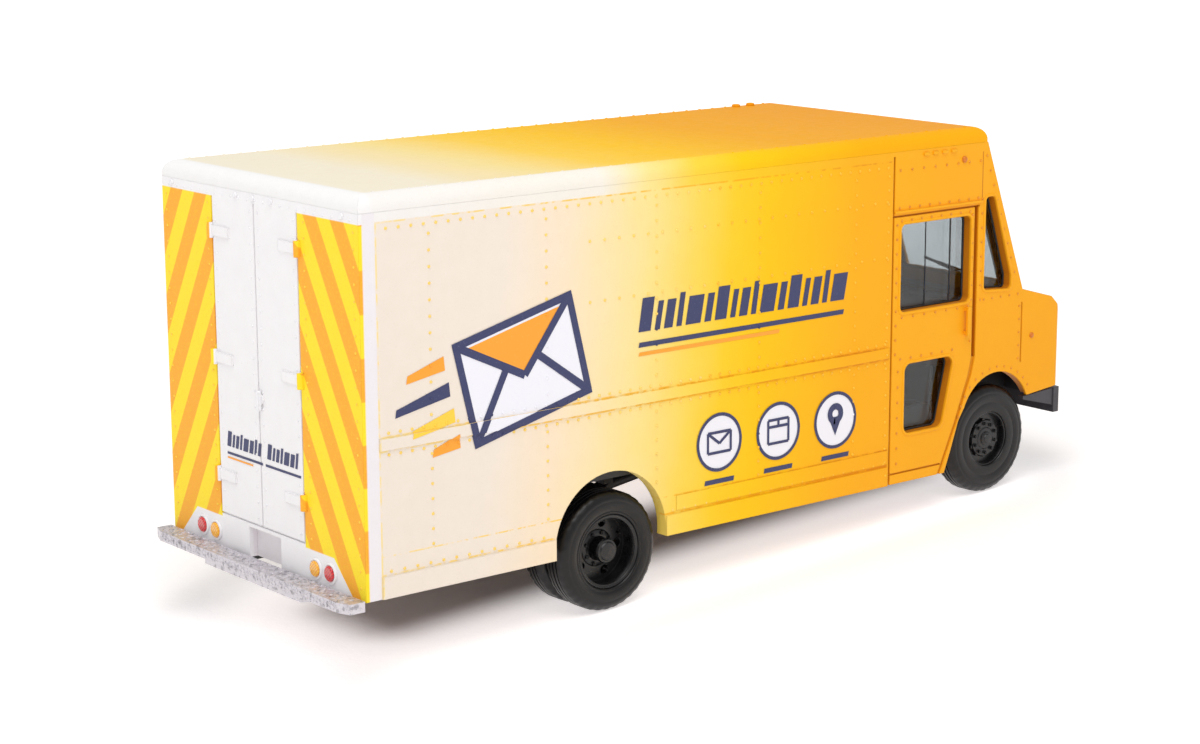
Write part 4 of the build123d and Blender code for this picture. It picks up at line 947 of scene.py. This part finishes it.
# ---- driver's seat: crowned pads in the CAD seat's space --------------------------------------------
def pad(bm, corners, crown, steps=9):
    """A crowned pad between eight corners given as two rings of four."""
    lower, upper = corners
    def at(u, v, w):
        a = Vector(lower[0]).lerp(Vector(lower[1]), u).lerp(Vector(lower[3]).lerp(Vector(lower[2]), u), v)
        b = Vector(upper[0]).lerp(Vector(upper[1]), u).lerp(Vector(upper[3]).lerp(Vector(upper[2]), u), v)
        return a.lerp(b, w)
    def fall(t):
        return 1 - abs(2 * t - 1) ** 4
    sheets = []
    for w in (0, 1):
        rows = []
        for i in range(steps + 1):
            row = []
            for j in range(steps + 1):
                u, v = i / steps, j / steps
                inset = 0.04 * (abs(2 * u - 1) ** 6 + abs(2 * v - 1) ** 6)
                uu, vv = u + (0.5 - u) * inset, v + (0.5 - v) * inset
                lift = fall(u) * fall(v)
                groove = 0.12 * math.exp(-((v - 0.5) / 0.04) ** 2) if w else 0.0
                depth = 0.5 + (w - 0.5) * (1 - crown + crown * (lift - groove))
                row.append(bm.verts.new(at(uu, vv, depth)))
            rows.append(row)
        for i in range(steps):
            for j in range(steps):
                bm.faces.new((rows[i][j], rows[i + 1][j], rows[i + 1][j + 1], rows[i][j + 1]))
        sheets.append(rows)
    def rim(rows):
        return (rows[0][:-1] + [r[-1] for r in rows[:-1]] + rows[-1][:0:-1] + [r[0] for r in rows[:0:-1]])
    bridge(bm, rim(sheets[0]), rim(sheets[1]))


SEAT_X, SEAT_Y = CARGO_END + 5.0, 7.0


def seat_ring(first, second):
    """Four corners of a pad's face, from two edges given as x from the seat, half width and height."""
    (x1, half1, z1), (x2, half2, z2) = first, second
    return [(SEAT_X + x1, SEAT_Y - half1, z1), (SEAT_X + x2, SEAT_Y - half2, z2),
            (SEAT_X + x2, SEAT_Y + half2, z2), (SEAT_X + x1, SEAT_Y + half1, z1)]


bm = bmesh.new()
cushion = seat_ring((-2.4, 2.5, 15.4), (2.4, 2.5, 15.4)), seat_ring((-2.4, 2.5, 16.9), (2.4, 2.5, 16.9))
back = seat_ring((-2.8, 2.4, 15.6), (-3.4, 2.3, 22.6)), seat_ring((-1.5, 2.4, 16.3), (-2.3, 2.3, 22.5))
headrest = seat_ring((-3.4, 1.3, 22.6), (-3.4, 1.3, 24.2)), seat_ring((-2.4, 1.3, 22.6), (-2.4, 1.2, 24.1))
pad(bm, cushion, 0.35)
pad(bm, back, 0.30)
pad(bm, headrest, 0.30)
seat = piece("seat_pads", bm, [SEAT], smooth=True)
seat.data.set_sharp_from_angle(angle=math.radians(50))
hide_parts("driver_seat")

# ---- studio: lengths in metres -------------------------------------------------------------------
SKY_STRENGTH = 0.62
KEY_PLACE, KEY_SIZE, KEY_WATTS = (-0.15, -0.20, 0.58), (0.5, 0.5), 2.35
FLOOR_REACH = 4.0
SHADE_DEPTH = 0.012
GLOW_UNDER, GLOW_NEAR, GLOW_FAR, GLOW_LEAST = 0.64, 0.16, 0.50, 0.02

scene = bpy.context.scene
scene.view_settings.view_transform = "Standard"
world = bpy.data.worlds.new("studio")
scene.world = world
world.use_nodes = True
sky = world.node_tree.nodes["Background"]
sky.inputs["Color"].default_value = (1.0, 1.0, 1.0, 1.0)
sky.inputs["Strength"].default_value = SKY_STRENGTH

# Painted light: the paper floor glows though it is no lamp. Its emission is least across the van's footprint,
# standing in for the contact shadow. It rises in a ring at the footprint's edge and again farther off, and grows
# far away so the floor reads white.
paper = Shader("paper_floor")
where = paper.node("ShaderNodeTexCoord").outputs["Object"]
along, across, _ = paper.node("ShaderNodeSeparateXYZ", where).outputs
core_x, core_y = ((CAD_BOX[1][k] - CAD_BOX[0][k]) / 2 - SHADE_DEPTH for k in (0, 1))
past_x = paper.math("MAXIMUM", paper.math("SUBTRACT", paper.math("ABSOLUTE", along), core_x), 0.0)
past_y = paper.math("MAXIMUM", paper.math("SUBTRACT", paper.math("ABSOLUTE", across), core_y), 0.0)
squares = paper.math("ADD", paper.math("MULTIPLY", past_x, past_x), paper.math("MULTIPLY", past_y, past_y))
past = paper.math("SQRT", squares)
span = paper.node("ShaderNodeVectorMath", where, operation="LENGTH").outputs["Value"]
bounce = paper.math("MULTIPLY", paper.step(past, 0.0, 0.0065), paper.step(past, 0.017, 0.008))
tone = paper.mix(paper.noise(where, 60.0, 3.0), (0.97, 0.96, 0.955, 1), (0.94, 0.925, 0.92, 1))
# Painted shade: the floor's base colour turns pink under and just around the van, standing in for the tinted
# shadow and bounce light from the orange body.
paper.set("Base Color", paper.mix(paper.step(past, 0.0, 0.014), (0.95, 0.80, 0.77, 1), tone))
paper.set("Roughness", 0.9)
paper.set("Specular IOR Level", 0.1)
paper.set("Emission Color", (1.0, 0.955, 0.95, 1))
# Painted shadow and light: emission shaped around the footprint as described above.
glow = paper.math("MULTIPLY_ADD", paper.step(past, 0.008, 0.020), GLOW_NEAR, GLOW_LEAST)
glow = paper.math("MULTIPLY_ADD", bounce, GLOW_UNDER, glow)
paper.set("Emission Strength", paper.math("MULTIPLY_ADD", paper.step(span, 0.10, 0.40), GLOW_FAR, glow))
paper.surface(paper.noise(where, 900.0, 4.0, 0.7), 0.35, 0.12)
bm = bmesh.new()
corners = ((-1, -1), (1, -1), (1, 1), (-1, 1))
bm.faces.new(loop(bm, [(FLOOR_REACH * u, FLOOR_REACH * v, 0) for u, v in corners]))
mesh = bpy.data.meshes.new("floor")
bm.to_mesh(mesh)
bm.free()
mesh.materials.append(paper.mat)
floor = bpy.data.objects.new("floor", mesh)
scene.collection.objects.link(floor)


def area(name, place, aim, size, power, colour=(1, 1, 1)):
    light = bpy.data.lights.new(name, "AREA")
    light.shape = "RECTANGLE"
    light.size, light.size_y = size
    light.energy = power
    light.color = colour
    obj = bpy.data.objects.new(name, light)
    obj.location = place
    obj.rotation_euler = (Vector(aim) - Vector(place)).to_track_quat("-Z", "Y").to_euler()
    scene.collection.objects.link(obj)


area("key", KEY_PLACE, (0.0, 0.0, 0.01), KEY_SIZE, KEY_WATTS, (1.0, 0.99, 0.98))

# ---- camera ----------------------------------------------------------------------------------------
FOCAL_PX, YAW, TILT, ROLL = 2613.98, 0.682375, 0.207905, -0.0038773
EYE = Vector((-104.234, -169.926, 62.315))
ahead = Vector((math.sin(YAW) * math.cos(TILT), math.cos(YAW) * math.cos(TILT), -math.sin(TILT)))
right = Vector((math.cos(YAW), -math.sin(YAW), 0))
up = right.cross(ahead)
right_r = right * math.cos(ROLL) + up * math.sin(ROLL)
up_r = up * math.cos(ROLL) - right * math.sin(ROLL)
level = Matrix((right_r, up_r, -ahead)).transposed()
turn = Matrix.Rotation(PITCH, 3, "Y") @ level
camera = bpy.data.cameras.new("camera")
camera.sensor_width = 36.0
camera.sensor_fit = "HORIZONTAL"
camera.lens = FOCAL_PX * 36.0 / 1200
camera.clip_start, camera.clip_end = 0.005, 20.0
eye = bpy.data.objects.new("camera", camera)
eye.matrix_world = Matrix.Translation(TO_ROW @ EYE) @ turn.to_4x4()
scene.collection.objects.link(eye)
scene.camera = eye
